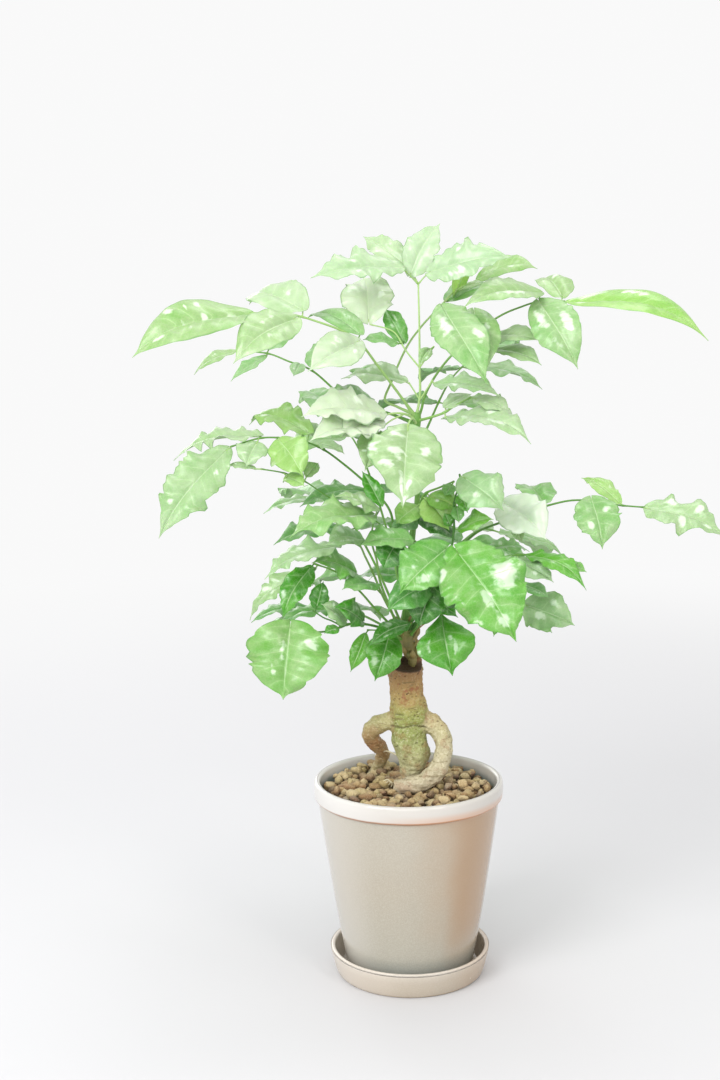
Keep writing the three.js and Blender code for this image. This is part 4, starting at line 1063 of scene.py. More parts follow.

# Fronds as the front eye sees them: settings, then stems, then leaves. Stems are rows of x, z, depth.
# A leaf is x, z, depth of its base and of its tip, width, tilt in degrees, arch, tone (lower for leaves
# deep in shade, so in part painted shade), silver (a painted grey-green sheen; below 0 it is golden
# instead) and maybe painted highlight patches: share along it, place across it from -1 to 1, half
# length, half width. Wave is how far margins ripple, for all leaves or one by one, heart how far bases
# reach back, and late how far out a blade is widest.
frondPlan = {
    "top_frond": ({"stalkTone": 0.8, "wave": 0.17}, [
        [(8, 398, 0), (10.5, 412, 0), (10.5, 431.5, 0), (10.5, 460, 2), (10, 489, 4)],
        [(10.5, 431.5, 0), (1, 443.5, 2), (-7, 456, 4), (-23.5, 461.5, 4)],
        [(10.5, 431.5, 0), (20.5, 446, -3)],
        [(10.5, 409.5, 0), (3, 421.5, 8)],
        [(10.5, 409.5, 0), (19.5, 423, -8)],
    ], [
        (-2, 499, 0, -63, 493, -24, 32, 34, 0.05, 0.68, 0.65),
        (5, 495, 5, 25, 528, 12, 23, 62, 0.06, 0.74, 0.75),
        (4, 499, 8, -27, 520, 34, 20, 60, 0.08, 0.72, 0.35),
        (18, 496, 2, 74, 505, -16, 30, 56, 0.1, 0.66, 0.75),
        (0, 449, 8, -13, 472, 22, 15, 68, 0.1, 0.3, 0.2),
        (-2, 448, 2, -28, 451, -12, 15, 36, 0.05, 0.45, 0.4),
        (-24, 462, 4, -27, 493, 32, 36, 36, 0.1, 1, 0.15),
        (19, 446, -3, 11, 434, -12, 9, 55, 0.1, 0.55, 0.2),
        (3, 422, 8, -43.5, 424.5, 36, 23, 22, 0.08, 0.7, 0.4),
        (19, 421, -8, 66, 411, -34, 22, 27, 0.08, 0.6, 0.5),
    ]),
    "upper_left_frond": ({"stalkTone": 0.62, "wave": [0, 0.05, 0.05, 0.04, 0.03]}, [
        [(8, 397, 0), (-4, 414, -7), (-18, 433, -14), (-32, 451, -20), (-45, 458.5, -25), (-57, 463, -29),
         (-73, 468, -33), (-88, 470, -36), (-103, 470, -39)],
    ], [
        (-103, 470, -39, -186, 441, -64, 42, 34, 0.13, 0.62, 0, [
            (0.14, -0.1, 0.045, 0.4), (0.34, 0, 0.035, 0.3), (0.36, 0.6, 0.035, 0.22),
            (0.46, 0.55, 0.02, 0.4), (0.53, -0.25, 0.02, 0.6), (0.6, 0.7, 0.06, 0.4),
            (0.76, -0.3, 0.07, 0.22)]),
        (-69, 472, -26, -105, 476, 14, 36, 42, 0.16, 0.72, 0.4),
        (-74, 466, -36, -117, 436, -68, 33, 50, 0.12, 0.68, 0.1),
        (-31, 450, -23, -66, 430, -52, 30, 60, 0.1, 0.84, 0.4),
        (-30, 455, -16, -66, 466, 14, 24, 32, 0.14, 0.5, 0.35),
    ]),
    "back_left_frond": ({"stalkTone": 0.35, "wave": 0.08}, [
        [(8, 393, 0), (-12, 401, 22), (-30, 406.5, 38), (-43.5, 412.5, 48), (-50, 419, 53),
         (-64, 431, 59), (-79, 437, 65), (-93, 442.5, 71), (-113, 444.5, 78)],
    ], [
        (-116, 444, 79, -144, 429, 84, 17, 30, 0.08, 0.62, 0.05),
        (-93, 442, 73, -119, 424, 62, 14, 28, 0.06, 0.5, 0.5),
        (-71, 436, 60, -76, 427, 48, 12, 50, 0.06, 0.55, 0.6),
        (-46, 414, 52, -20, 404, 84, 30, 30, 0.1, 0.5, 0.4),
        (-62, 433, 60, -40, 443, 104, 32, 24, 0.1, 0.5, 0.4),
        (-92, 446, 74, -84, 456, 118, 32, 20, 0.1, 0.5, 0.4),
    ]),
    "back_twig": ({"stalkTone": 0.7, "wave": 0.04}, [
        [(8, 399, 0), (-5, 405, 18), (-13.5, 410, 30), (-9.5, 421, 34), (2, 446, 38), (12, 459.5, 41),
         (26.5, 474.5, 44), (35, 483, 46), (45, 488, 48)],
    ], [
        (34, 481, 44, 51, 503, 66, 26, -46, 0.08, 0.85, -1),
        (52, 491, 50, 91, 497, 42, 25, 33, 0.14, 0.62, -0.1),
        (37, 483, 46, 53, 487, 30, 12, 38, 0.08, 0.6, 0.1),
        (-10, 424, 38, -36, 427, 84, 28, 18, 0.1, 0.5, 0.3),
        (26, 463, 46, 52, 447, 98, 32, 22, 0.12, 0.5, 0.3),
        (30, 476, 48, 66, 481, 98, 30, 16, 0.12, 0.5, 0.3),
    ]),
    "upper_right_frond": ({"stalkTone": 0.45, "wave": [0.05, 0.05, 0, 0.05, 0.06, 0.06, 0.08, 0.08]}, [
        [(8, 395, 0), (11.5, 403, 6), (13.5, 411, 10), (19.5, 423, 13), (30.5, 437.5, 14), (44, 450, 11),
         (58, 461, 7), (68, 467, 4), (79.5, 471.5, 1), (93.5, 475.5, -3), (110, 475, -7)],
    ], [
        (92, 481, 0, 40, 471, -28, 30, 32, 0.12, 0.6, 0.1, [(0.45, -0.4, 0.2, 0.3)]),
        (108, 478, 0, 93, 488, 34, 26, 26, 0.14, 0.62, 0),
        (110, 475, -7, 208, 447, -44, 35, 30, 0.15, 0.66, -0.7, [
            (0.14, -0.75, 0.14, 0.4), (0.42, -0.6, 0.12, 0.25), (0.1, 0.4, 0.06, 0.3)]),
        (93, 474, -8, 119, 429, -36, 33, 74, 0.14, 0.56, 0.3, [
            (0.3, 0.5, 0.16, 0.3), (0.45, -0.5, 0.2, 0.22), (0.7, 0.4, 0.1, 0.3)]),
        (27, 472, -16, 57, 419, -58, 35, 56, 0.12, 0.54, 0.25, [
            (0.3, 0.4, 0.16, 0.4), (0.55, -0.6, 0.12, 0.2)]),
        (48, 469, -8, 56, 426, -40, 28, 62, 0.12, 0.58, 0.1),
        (62, 452, 2, 92, 449, -22, 23, 42, 0.08, 0.66, 0.2),
        (64, 443, 2, 94, 432, -26, 20, 36, 0.08, 0.64, 0.2),
    ]),
    "right_middle_frond": ({"stalkTone": 0.5, "wave": 0.12}, [
        [(8, 395, 0), (18, 397.5, -9), (27, 400.5, -13), (36, 406, -14), (46, 411, -15)],
    ], [
        (27, 404, -14, 46, 413, 2, 14, 30, 0.06, 0.68, 0.4),
        (46, 411, -15, 73, 398, -36, 17, 34, 0.1, 0.7, 0.4),
        (29, 396, -16, 87, 378, -54, 33, 28, 0.14, 0.7, 0.4, [
            (0.25, 0.4, 0.14, 0.3), (0.45, -0.4, 0.1, 0.3), (0.65, 0.35, 0.12, 0.35)]),
    ]),
    "front_leaf": ({"heart": 1, "late": 0.9, "stalkTone": 0.8, "wave": 0.1}, [
        [(8, 393, 0), (6, 396.5, -12), (4, 396, -26), (2, 392, -36)],
    ], [
        (2, 388.5, -38, -2, 335, -76, 49, 66, 0.14, 0.66, 0.2, [
            (0.13, 0.45, 0.09, 0.5), (0.42, 0.24, 0.18, 0.28), (0.42, 0.85, 0.1, 0.28),
            (0.8, 0.14, 0.2, 0.16), (0.62, 0.5, 0.05, 0.3), (0.4, -0.5, 0.08, 0.2),
            (0.93, -0.3, 0.06, 0.5), (0.8, -0.2, 0.07, 0.16)]),
    ]),
    "pale_left_frond": ({"stalkTone": 0.75, "wave": 0.14}, [
        [(8, 396, 0), (0, 400, -8), (-8, 400.5, -13), (-15, 399, -18)],
        [(0, 400, -8), (-9, 396, -15), (-16, 391, -22), (-20, 389.5, -24)],
    ], [
        (-14, 401, -18, -71, 399, -44, 34, 38, 0.12, 1, 0.2),
        (-18, 396, -22, -44, 384, -48, 26, 52, 0.1, 1, 0.15),
        (-20, 390, -25, -66, 382, -56, 30, 36, 0.1, 1, 0.15),
        (-18, 388, -26, -28, 361, -46, 22, 66, 0.1, 0.66, 0.1),
    ]),
    "left_frond": ({"stalkTone": 0.3, "wave": 0.21}, [
        [(-3, 246, 2), (-1.5, 270, -7), (-5.5, 289, -11), (-8, 309, -13), (-10.5, 332, -13),
         (-20, 345.5, -14), (-32, 357, -15), (-42.5, 366, -15), (-55, 375.5, -16), (-65, 380.5, -16),
         (-77, 383.5, -16), (-98, 385, -17), (-121, 379, -19)],
        [(-8, 314, -13), (-16, 322, -15), (-25, 329, -18), (-39, 336.5, -20), (-53, 343, -22),
         (-69, 354, -24), (-82.5, 360, -26), (-100, 363.5, -28)],
    ], [
        (-99, 386.5, -14, -160, 370, 4, 26, 20, 0.1, 0.66, 0.3),
        (-66, 388, -12, -107, 394, 20, 28, 30, 0.18, 0.64, -0.5),
        (-87, 383.5, -19, -71, 358, -40, 28, 66, 0.08, 0.7, -0.6, []),
        (-101, 384, -17, -110, 365, -32, 22, 60, 0.1, 0.66, 0.45),
        (-122, 378, -19, -172, 316, -46, 34, 50, 0.12, 0.62, 0.4, [
            (0.25, -0.5, 0.05, 0.2), (0.7, 0.4, 0.05, 0.2)]),
        (-52, 384, -12, -82, 390, 16, 15, 22, 0.06, 0.62, 0.4),
        (-59, 381, -18, -42, 373, -28, 12, 38, 0.06, 0.66, 0.5),
        (-104, 363.5, -29, -127, 364, -26, 10, 24, 0.1, 0.64, 0.3),
        (-69, 357, -24, -60, 367, -14, 11, 48, 0.06, 0.58, 0.1),
        (-84, 359, -27, -70, 351, -40, 14, 38, 0.08, 0.66, -0.5),
    ]),
    "front_left_frond": ({"stalkTone": 0.45, "wave": 0.19}, [
        [(-5, 248, -1), (-13, 268, -26), (-18.5, 284, -36), (-20.5, 298, -42), (-24, 313, -47),
         (-22, 328, -50)],
    ], [
        (-24, 330, -51, -81, 315, -84, 36, 32, 0.12, 0.55, 0.1),
        (-20, 334, -50, -52, 343, -56, 20, 26, 0.1, 0.6, 0.2),
        (-17, 337, -48, -30, 361, -40, 12, 58, 0.06, 0.2, -0.1),
    ]),
    "low_left_frond": ({"stalkTone": 0.5, "wave": 0.2}, [
        [(-5, 252, 1), (-11, 262, -9), (-17, 274, -17), (-23, 289, -25), (-28.5, 301, -29),
         (-33, 309.5, -31), (-44, 311, -34)],
        [(-17, 274, -17), (-24, 281, -24), (-34, 288, -28)],
    ], [
        (-30, 312, -32, -56, 309, -50, 24, 36, 0.22, 0.56, 0.4),
        (-46, 309, -34, -99, 286, -58, 24, 22, 0.1, 0.62, 0.5),
        (-36, 290, -28, -66, 297, -40, 26, 34, 0.12, 0.48, 0.15),
        (-22, 281, -28, -45, 278, -48, 20, 30, 0.08, 0.5, 0.35),
    ]),
    "drooping_left_frond": ({"stalkTone": 0.4, "wave": 0.22}, [
        [(-4, 244, 2), (-13, 254, -4), (-22, 264, -8), (-34, 278, -12), (-48, 290, -15), (-65, 297, -17)],
    ], [
        (-65, 297, -17, -87, 258, -34, 19, 46, 0.14, 0.2, -0.1),
        (-62, 294, -17, -110, 257, -8, 18, 34, 0.16, 0.6, 0.2),
        (-40, 286, -12, -66, 281, 12, 22, 20, 0.1, 0.5, 0.4),
    ]),
    "round_leaf_left": ({
        "heart": 1.2, "late": 0.8, "stalkTone": 0.2, "wave": [0.13, 0.16, 0.16, 0.16, 0.12],
    }, [
        [(-5, 243, 0), (-20, 251, -13), (-39, 253.5, -23), (-53, 249, -27), (-64, 248, -29),
         (-78, 251, -31)],
        [(-45, 251.5, -25), (-53, 256, -27), (-58, 258, -28), (-66, 263.5, -29)],
    ], [
        (-82, 251.5, -32, -88, 199.5, -52, 54, 68, 0.06, 0.5, 0.05, [
            (0.35, 0.12, 0.26, 0.12), (0.3, -0.6, 0.1, 0.2), (0.65, 0.35, 0.1, 0.1)]),
        (-42, 255, -25, -60, 268, -34, 16, 42, 0.08, 0.6, 0.5),
        (-64, 262, -29, -58, 284, -24, 13, 58, 0.06, 0.15, 0),
        (-30, 255, -20, -51, 266, -38, 19, 52, 0.1, 0.2, -0.1),
        (-46, 252, -26, -58, 247, -34, 9, 40, 0.06, 0.3, 0.1),
    ]),
    "crown_leaves": ({"piece": "collarLeaves", "stalkTone": 0.4, "wave": 0.12}, [
        [(-3, 241, 2), (-7, 244, -9), (-12, 245, -14)],
        [(-7, 244, -9), (-16, 248, -12), (-28, 249, -15)],
        [(-7, 244, -9), (-2, 249, -13), (3, 253, -15)],
    ], [
        (-12, 247, -13, -23, 212, -28, 25, 68, 0.12, 0.24, -0.8),
        (-28, 249, -15, -40, 219, -24, 13, 56, 0.1, 0.3, -0.95),
        (3, 254, -14, -27, 237, -36, 15, 46, 0.1, 0.1, -0.6),
    ]),
    "front_low_leaf": ({"heart": 0.4, "late": 1.25, "stalkTone": 0.35, "wave": [0.09, 0.1]}, [
        [(2, 244, 2), (10, 254, -14), (18, 264, -24), (24, 263, -31)],
        [(8, 252, -10), (12, 271, -24)],
    ], [
        (24, 262, -32, 32, 215, -52, 40, 68, 0.08, 0.31, -0.15, [
            (0.5, 0.62, 0.16, 0.09), (0.42, -0.2, 0.06, 0.1), (0.58, -0.32, 0.14, 0.08),
            (0.62, 0.95, 0.1, 0.12)]),
        (13, 272, -25, 36, 257, -40, 17, 44, 0.1, 0.25, 0),
    ]),
    "front_right_frond": ({"stalkTone": 0.15, "wave": [0.16, 0.13, 0.14, 0.15, 0.13, 0.13, 0.13]}, [
        [(1, 249, 0), (9, 266, -28), (18, 280, -46), (21, 290, -53), (25, 295, -56), (30, 301, -60),
         (34, 306, -62)],
        [(18, 280, -46), (17, 293, -46), (12, 305, -46), (6, 312, -47)],
    ], [
        (35, 305, -63, 77, 239, -98, 52, 58, 0.1, 0.42, 0.05, [
            (0.42, -0.55, 0.14, 0.42), (0.55, -0.5, 0.1, 0.36), (0.57, 0.12, 0.19, 0.16),
            (0.8, 0.1, 0.08, 0.4), (0.2, 0.92, 0.08, 0.12), (0.5, 0.75, 0.1, 0.08),
            (0.72, 0.85, 0.06, 0.15)]),
        (28, 306, -57, -5, 274, -74, 36, 52, 0.1, 0.36, 0.15),
        (19, 283, -49, -14, 262, -62, 24, 48, 0.1, 0.28, 0.3),
        (5, 313, -47, -32, 309, -62, 22, 34, 0.12, 0.45, 0.25),
        (-6, 311, -50, -16, 292, -58, 22, 66, 0.06, 0.2, 0.1),
        (19, 291, -47, 36, 262, -52, 24, 40, 0.08, 0.06, 0),
        (20, 286, -50, 8, 250, -56, 26, 56, 0.1, 0.1, 0),
    ]),
    "centre_right_frond": ({"stalkTone": 0.4, "wave": 0.16}, [
        [(5.5, 321, 4), (9, 330, -10), (13, 344, -20), (24, 349, -22), (34, 353, -20)],
    ], [
        (14, 341, -21, 30, 319, -32, 25, 54, 0.1, 0.85, -0.8),
        (16, 343, -20, 36, 333, -30, 20, 44, 0.1, 0.58, -0.7),
        (34, 353, -20, 27, 343, -28, 10, 50, 0.05, 0.45, 0.3),
        (9, 330, -12, 34, 312, -20, 24, 30, 0.1, 0.12, 0),
        (8, 326, -9, -11, 316, -22, 15, 40, 0.1, 0.45, 0.6),
        (10, 338, -16, -7, 324, -27, 19, 50, 0.1, 0.68, -0.5),
    ]),
    "upright_twig": ({"stalkTone": 0.15, "wave": 0.17}, [
        [(2, 248, 3), (17, 268, -14), (27, 292, -24), (32, 308, -30), (33.5, 319.5, -32),
         (33.5, 331.5, -34), (34.5, 342, -36), (38.5, 352.5, -38), (37.5, 358, -39)],
    ], [
        (39, 357, -39, 68, 332, -60, 31, 54, 0.12, 0.55, 0.6),
        (38, 347, -37, 43, 331, -46, 11, 50, 0.06, 0.3, -0.3),
        (35, 338, -35, 37, 324, -42, 9, 60, 0.06, 0.45, 0.3),
        (36, 319, -33, 61, 326, -44, 15, 42, 0.08, 0.45, -0.6),
        (32, 320, -33, 27, 331, -34, 8, 50, 0.05, 0.3, -0.2),
    ]),
    "right_frond": ({"stalkTone": 0.25, "wave": [0.12, 0.18, 0.16, 0.2, 0.15, 0.15]}, [
        [(1, 251, 5), (15, 275, 2), (30, 298, 0), (45.5, 314, -2), (52, 318.5, -3), (74, 326.5, -5),
         (87, 331.5, -6), (100, 335.5, -7), (115, 338.5, -8), (130, 338, -9), (146, 335, -10),
         (166, 333, -12)],
    ], [
        (69, 337, -8, 98, 311, -38, 34, 58, 0.12, 0.92, 1, []),
        (129, 340, -11, 137, 304, -34, 31, 68, 0.14, 0.52, 0.3, [
            (0.35, -0.4, 0.1, 0.2), (0.6, 0.4, 0.1, 0.15)]),
        (151, 335, -9, 122, 354, 10, 15, 44, 0.1, 0.7, -0.5),
        (166, 333, -12, 222, 311, -32, 34, 38, 0.12, 0.64, 0.3, [
            (0.25, -0.5, 0.1, 0.3), (0.45, 0.5, 0.1, 0.3), (0.62, -0.45, 0.1, 0.3), (0.75, 0.4, 0.08, 0.3)]),
        (75, 325, -7, 81, 309, -18, 9, 56, 0.06, 0.6, 0),
        (96, 337, -5, 84, 348, 32, 28, 20, 0.1, 0.5, 0.3),
    ]),
    "low_right_frond": ({"stalkTone": 0.3, "wave": 0.2}, [
        [(2, 246, 4), (24, 268, -3), (45, 287, -9), (62, 297, -14), (80, 301, -20), (98, 297, -26)],
        [(45, 287, -9), (62, 284, -13), (80, 281, -17)],
        [(24, 268, -3), (45, 268, -5), (66, 268, -7), (81, 266, -9)],
    ], [
        (82, 302, -20, 126, 275, -46, 17, 38, 0.18, 0.32, -0.1),
        (108, 294, -30, 126, 288, -38, 11, 34, 0.08, 0.42, 0.1),
        (58, 305, -10, 86, 303, 12, 16, 22, 0.08, 0.45, 0.3),
        (78, 297, -20, 103, 281, -36, 19, 42, 0.1, 0.55, 0.6),
        (80, 281, -17, 100, 270, -28, 13, 40, 0.08, 0.35, 0.6),
        (82, 266, -9, 118, 250, -26, 29, 58, 0.12, 0.54, 0.5, [
            (0.35, 0.3, 0.14, 0.3), (0.5, -0.5, 0.12, 0.25)]),
        (84, 262, -8, 102, 245, 0, 16, 44, 0.06, 0.45, 0),
        (66, 264, -8, 61, 243, -16, 12, 62, 0.06, 0.4, 0),
    ]),
}

backFronds = {      # x, y, z of the points of a stalk, and the length of its leaflets
    "back_frond_1": ([(-2, 6, 248), (-24, 46, 294), (-46, 86, 326), (-60, 114, 332)], 56),
    "back_frond_2": ([(0, 8, 252), (-12, 46, 312), (-30, 80, 366), (-44, 108, 388)], 58),
    "back_frond_3": ([(2, 7, 249), (30, 44, 290), (58, 80, 308), (78, 106, 302)], 54),
    "back_frond_4": ([(0, 9, 245), (6, 46, 266), (14, 84, 280), (22, 112, 274)], 54),
    "back_frond_5": ([(-3, 7, 242), (-28, 42, 250), (-54, 74, 254), (-72, 96, 246)], 50),
    "back_frond_6": ([(8, 3, 372), (18, 36, 390), (36, 74, 420), (54, 104, 436)], 56),
}


def bladeOutline(share, slender, late):
    # half width along a blade, as a share of its greatest: an egg-shaped body that ends at 0.93,
    # sin(pi * s^late)^0.66, joined to a drawn-out tip; a slender or late blade narrows more
    at = np.clip(share / (0.93 + 0.04 * slender), 0, 1)
    power = 0.66 + 0.9 * (late - leafForm["plain"]["late"]) + 0.08 * slender + 0.5 * slender * at ** 2
    body = np.sin(math.pi * at ** late) ** power
    spike = 0.17 * smooth(share, 0.4, 0.84) * np.clip((1 - share) / 0.14, 0, 1)
    return (body ** 3 + spike ** 3) ** (1 / 3)


class Leaf:
    # The grid of one leaflet: share runs from base to tip and across from -1 to 1, a little denser at
    # both ends and at the midrib. Reach is the size of across and hand its sign. The chances, drawn
    # in one go, make each leaflet its own.
    def __init__(self, length, shape, draw):
        form = leafForm
        self.length, self.width, self.wave = length, shape["width"], shape["wave"]
        rows = int(np.clip(length / form["rowStep"], *form["rows"]))
        half = int(np.clip(self.width / form["columnStep"], *form["columns"]))
        even = np.linspace(0, 1, rows)
        self.share = (even - 0.085 * np.sin(2 * math.pi * even))[:, None]
        even = np.linspace(-1, 1, 2 * half + 1)
        self.across = (np.sign(even) * abs(even) ** 1.2)[None]
        self.reach, self.hand = abs(self.across), np.sign(self.across)
        self.chances = [draw() for _ in range(form["chances"])]
        stout, span = form["slender"]
        self.slender = float(np.clip((stout - self.width / length) / span, 0, 1))
        self.setMargin(shape["late"])

    def swing(self, turns, skew):
        # a wave along the blade, out of step on its two halves
        return np.sin(2 * math.pi * turns + self.hand * skew)

    def setMargin(self, late):
        # lobes of uneven length on each side, some of them deep, some nearly gone
        share, chances = self.share, self.chances
        self.lobes = max(self.length / leafForm["lobe"], 3)
        drift = 0.045 * self.swing(1.4 * share + chances[1], 1.9)
        drift = share + drift + 0.02 * self.swing(3.1 * share + chances[2], -1)
        self.count = self.lobes * drift + self.hand * 0.37
        self.depth = 0.62 + 0.38 * self.swing(1.7 * share + chances[3], 2.2)
        lobe = abs(np.sin(math.pi * self.count)) ** 0.6 - 0.62
        ends = smooth(share, 0.02, 0.16) * smooth(share, 0.97, 0.82)
        outline = 1 + 0.035 * self.swing(1.6 * share + chances[4], 1.3)
        outline = bladeOutline(share, self.slender, late) * outline
        cut = ends * self.depth * lobe * min(1.7 * self.wave, 0.3)
        least = 0.22 + 0.25 * (1 - share)
        self.wide = np.maximum(self.width / 2 * outline * (1 + cut * self.reach ** 2), least)
        self.x = self.wide * self.across

    def veins(self):
        # whole numbers lie on a side vein; the two halves are out of step
        share, reach = self.share, self.reach
        pairs = leafForm["veins"] * np.clip(self.length / leafForm["common"], 0.7, 1.15)
        stagger = (0.25 + 0.1 * self.chances[0]) * self.hand * smooth(reach, 0, 0.08)
        return pairs * (share - leafForm["veinRise"] * reach ** 1.15 * (1 - 0.4 * share)) + stagger

    def lift(self, veins):
        # Height over the flat blade. Each half rises by fold, bulges by belly, ripples at its
        # margin, is quilted between veins and crumpled by three long waves.
        form, share, reach, chances = leafForm, self.share, self.reach, self.chances
        quilt = form["quilt"] * self.wide * (abs(np.sin(math.pi * veins)) ** 0.8 - 0.6)
        quilt = quilt * smooth(reach, 0.03, 0.25) * smooth(reach, 1.02, 0.72)
        ripple = 1.55 * self.depth * np.sin(math.pi * (self.count + 2 * chances[5])) * reach ** 2.4
        ripple += 0.6 * self.swing(share * self.lobes * 0.27 + chances[6], 1.7) * reach ** 2
        ripple += 0.3 * self.swing(share * self.lobes * 0.9 + chances[7], 1) * reach ** 4
        crumple = 0
        for wavelength, heading, start in zip(form["crumples"], chances[8:11], chances[11:14]):
            heading *= 2 * math.pi
            place = share * self.length * math.cos(heading) + self.x * math.sin(heading)
            crumple = crumple + np.sin(2 * math.pi * (place / wavelength + start)) * wavelength / 16
        crumple = form["crumple"] * crumple * smooth(reach, 0.02, 0.3)
        crumple = crumple * min(self.width / 30, 1) * (1 - 0.7 * self.slender)
        fold = form["fold"] * (1 + 1.2 * (chances[14] - 0.5) * self.hand)
        body = smooth(share, 0, 0.06) * smooth(share, 1, 0.9)
        lift = self.wide * (fold * reach + form["belly"] * np.sin(math.pi * reach ** 0.85))
        return lift + (quilt + self.wave * self.wide * ripple + crumple) * body

    def gloss(self, patches):
        # 1 in the middle of the nearest painted highlight patch, 0 at its rim: the greatest of 1 - distance,
        # each distance measured in the patch's own half length and half width. Without a list there are
        # two paler painted highlight patches, one in each half, where the chances put them.
        chances, paler = self.chances, 0
        if patches is None:
            paler = 0.45
            least = np.array([(0.3, 0.25, 0.1, 0.2), (0.25, -0.3, 0.1, 0.2)])
            more = np.array([(0.4, 0.4, 0.2, 0.4), (0.4, -0.4, 0.12, 0.3)])
            patches = least + more * np.take(chances, [(17, 16, 3, 1), (2, 4, 6, 0)])
        field = np.full((len(self.share), self.across.shape[1]), -1.0)
        for at, beside, halfLength, halfWidth in patches:
            away = np.hypot((self.share - at) / halfLength, (self.across - beside) / halfWidth)
            field = np.maximum(field, 1 - away)
        return field - paler


def addLeaf(skin, foot, base, tip, shape, draw):
    # One leaflet: a closed blade from base to tip, and its own stalk from foot to base. The blade's
    # middle line is base + along * share, bowed up by arch * length * 4 * q * (1 - q), q = share^1.3.
    length = np.linalg.norm(tip - base)
    along = (tip - base) / length
    lean = math.radians(shape["tilt"])
    up = np.array([0, -math.sin(lean), math.cos(lean)])
    up = unit(up - along * (up @ along))
    side = np.cross(along, up)
    leaf = Leaf(length, shape, draw)
    share, reach, x = leaf.share, leaf.reach, leaf.x
    veins = leaf.veins()
    lift = leaf.lift(veins)

    sway = length * leafForm["sway"] * (leaf.chances[15] - 0.5) * 2 * np.sin(math.pi * share)
    bowed = share ** 1.3
    bow = shape["arch"] * length * 4 * bowed * (1 - bowed)
    roll = leafForm["roll"] * (leaf.chances[16] - 0.5) * (share - 0.35)
    sideways = side * np.cos(roll)[..., None] + up * np.sin(roll)[..., None]
    upward = up * np.cos(roll)[..., None] - side * np.sin(roll)[..., None]
    back = shape["heart"] * leafForm["heartReach"] * (1 - 0.6 * leaf.slender) * reach ** 1.6
    back = back * np.clip(1 - 1.6 * share, 0, 1) ** 2
    face = base + along * length * (share - back)[..., None] + up * bow[..., None] + side * sway[..., None]
    face = face + sideways * x[..., None] + upward * lift[..., None]

    rib = np.exp(-(x / leafForm["ribWidth"]) ** 2) * smooth(share, 1.05, 0.5)
    thick = leafForm["thickness"] / 2 * (1 - 0.9 * reach ** 6)
    upper = face + upward * (thick - leafForm["ribSunk"] * rib)[..., None]
    lower = face - upward * (thick + leafForm["ribProud"] * rib)[..., None]
    edge = (upper + lower) / 2
    upper[:, [0, -1]] = edge[:, [0, -1]]
    loop = np.concatenate([upper, lower[:, -2:0:-1]], 1)

    def bothFaces(values):
        values = np.broadcast_to(values, face.shape[:2])
        return np.concatenate([values, values[:, -2:0:-1]], 1)

    columns = np.arange(loop.shape[1])
    margin = np.isin(columns, (0, face.shape[1] - 1)) & np.ones((len(loop), 1), bool)
    skin.addRows(loop, {
        "leafTone": shape["tone"], "leafSilver": shape["silver"], "leafReach": bothFaces(abs(x)),
        "leafEdge": bothFaces(reach), "leafAlong": bothFaces(share), "veinPhase": bothFaces(veins),
        "leafGloss": bothFaces(leaf.gloss(shape["gloss"])), "upperFace": columns < face.shape[1],
        "stalk": 0.0,
    }, margin)
    addLeafStalk(skin, foot, base, along, shape["tone"])


def addLeafStalk(skin, foot, base, along, tone):
    # it bends from the stem's side into the blade
    straight = base - foot
    length = np.linalg.norm(straight)
    share = np.linspace(0, 1, max(5, int(length / 1.6)))[:, None]
    bend = length * 0.18 * (share ** 3 - share ** 2)
    path = foot + straight * share + along * bend * 2
    path[-1] = base + along * 0.5
    swell = np.interp(share[:, 0], [0, 0.12, 0.3, 0.85, 1], [1.5, 1.35, 1, 1, 1.2])
    skin.addRows(tubeRows(path, swell * leafForm["leafStalk"], 7), {"stalk": 1.0, "leafTone": tone})


def addStem(skin, places, radii, feet, tone):
    # a tapering stalk, a little swollen where leaflets stand on it
    shares = np.linspace(0, 1, max(6, int(lengthOf(places) / 1.5)))
    path = curveThrough(places, shares)
    gap = np.linalg.norm(path[:, None] - np.array(feet)[None], axis=2).min(1)
    thick = spread(radii, shares) * (1 + 0.4 * np.exp(-(gap / 1.4) ** 2))
    skin.addRows(tubeRows(path, thick, 9), {"stalk": 1.0, "leafTone": tone})


def nearestOn(lines, point):
    # the nearest point of the stems, a little way in from a stem's end so that stalks root in it
    found = [line[:-1][np.argmin(np.linalg.norm(line[:-1] - point, axis=1))] for line in lines]
    return min(found, key=lambda place: np.linalg.norm(place - point))


def finelyPlaced(places):
    return curveThrough(places, np.linspace(0, 1, max(3, int(lengthOf(places) / 0.8))))


def pieceName(name):
    first, *rest = name.split("_")
    return first + "".join(word.title() for word in rest)


def makeFrond(name, plan, stems, leaves, seed, finish):
    draw = seededDraw(seed)
    skin = Skin()
    routes = [np.array([spot(*place) for place in stem]) for stem in stems]
    lines = [finelyPlaced(route) for route in routes]
    feet = []
    for row, wave in zip(leaves, np.broadcast_to(plan["wave"], len(leaves))):
        columns = dict(zip(("width", "tilt", "arch", "tone", "silver", "gloss"), row[6:]))
        shape = {**leafForm["plain"], **plan, **columns, "wave": wave}
        base, tip = spot(*row[:3]), spot(*row[3:6])
        foot = nearestOn(lines, base)
        clear = leafForm["stalkLeast"] - np.linalg.norm(base - foot)
        if clear > 0:
            base = base + unit(tip - base) * clear
        feet.append(foot)
        addLeaf(skin, foot, base, tip, shape, draw)
    first, last = leafForm["petiole"]
    radii = np.linspace(first, last, 12)
    radii[0] *= 1.7         # the clasping foot
    for route in routes:
        addStem(skin, route, radii, feet, plan["stalkTone"])
        radii = np.linspace(last * 1.1, last * 0.85, 12)
    skin.piece(plan.get("piece", pieceName(name)), finish, [name], "foliage")


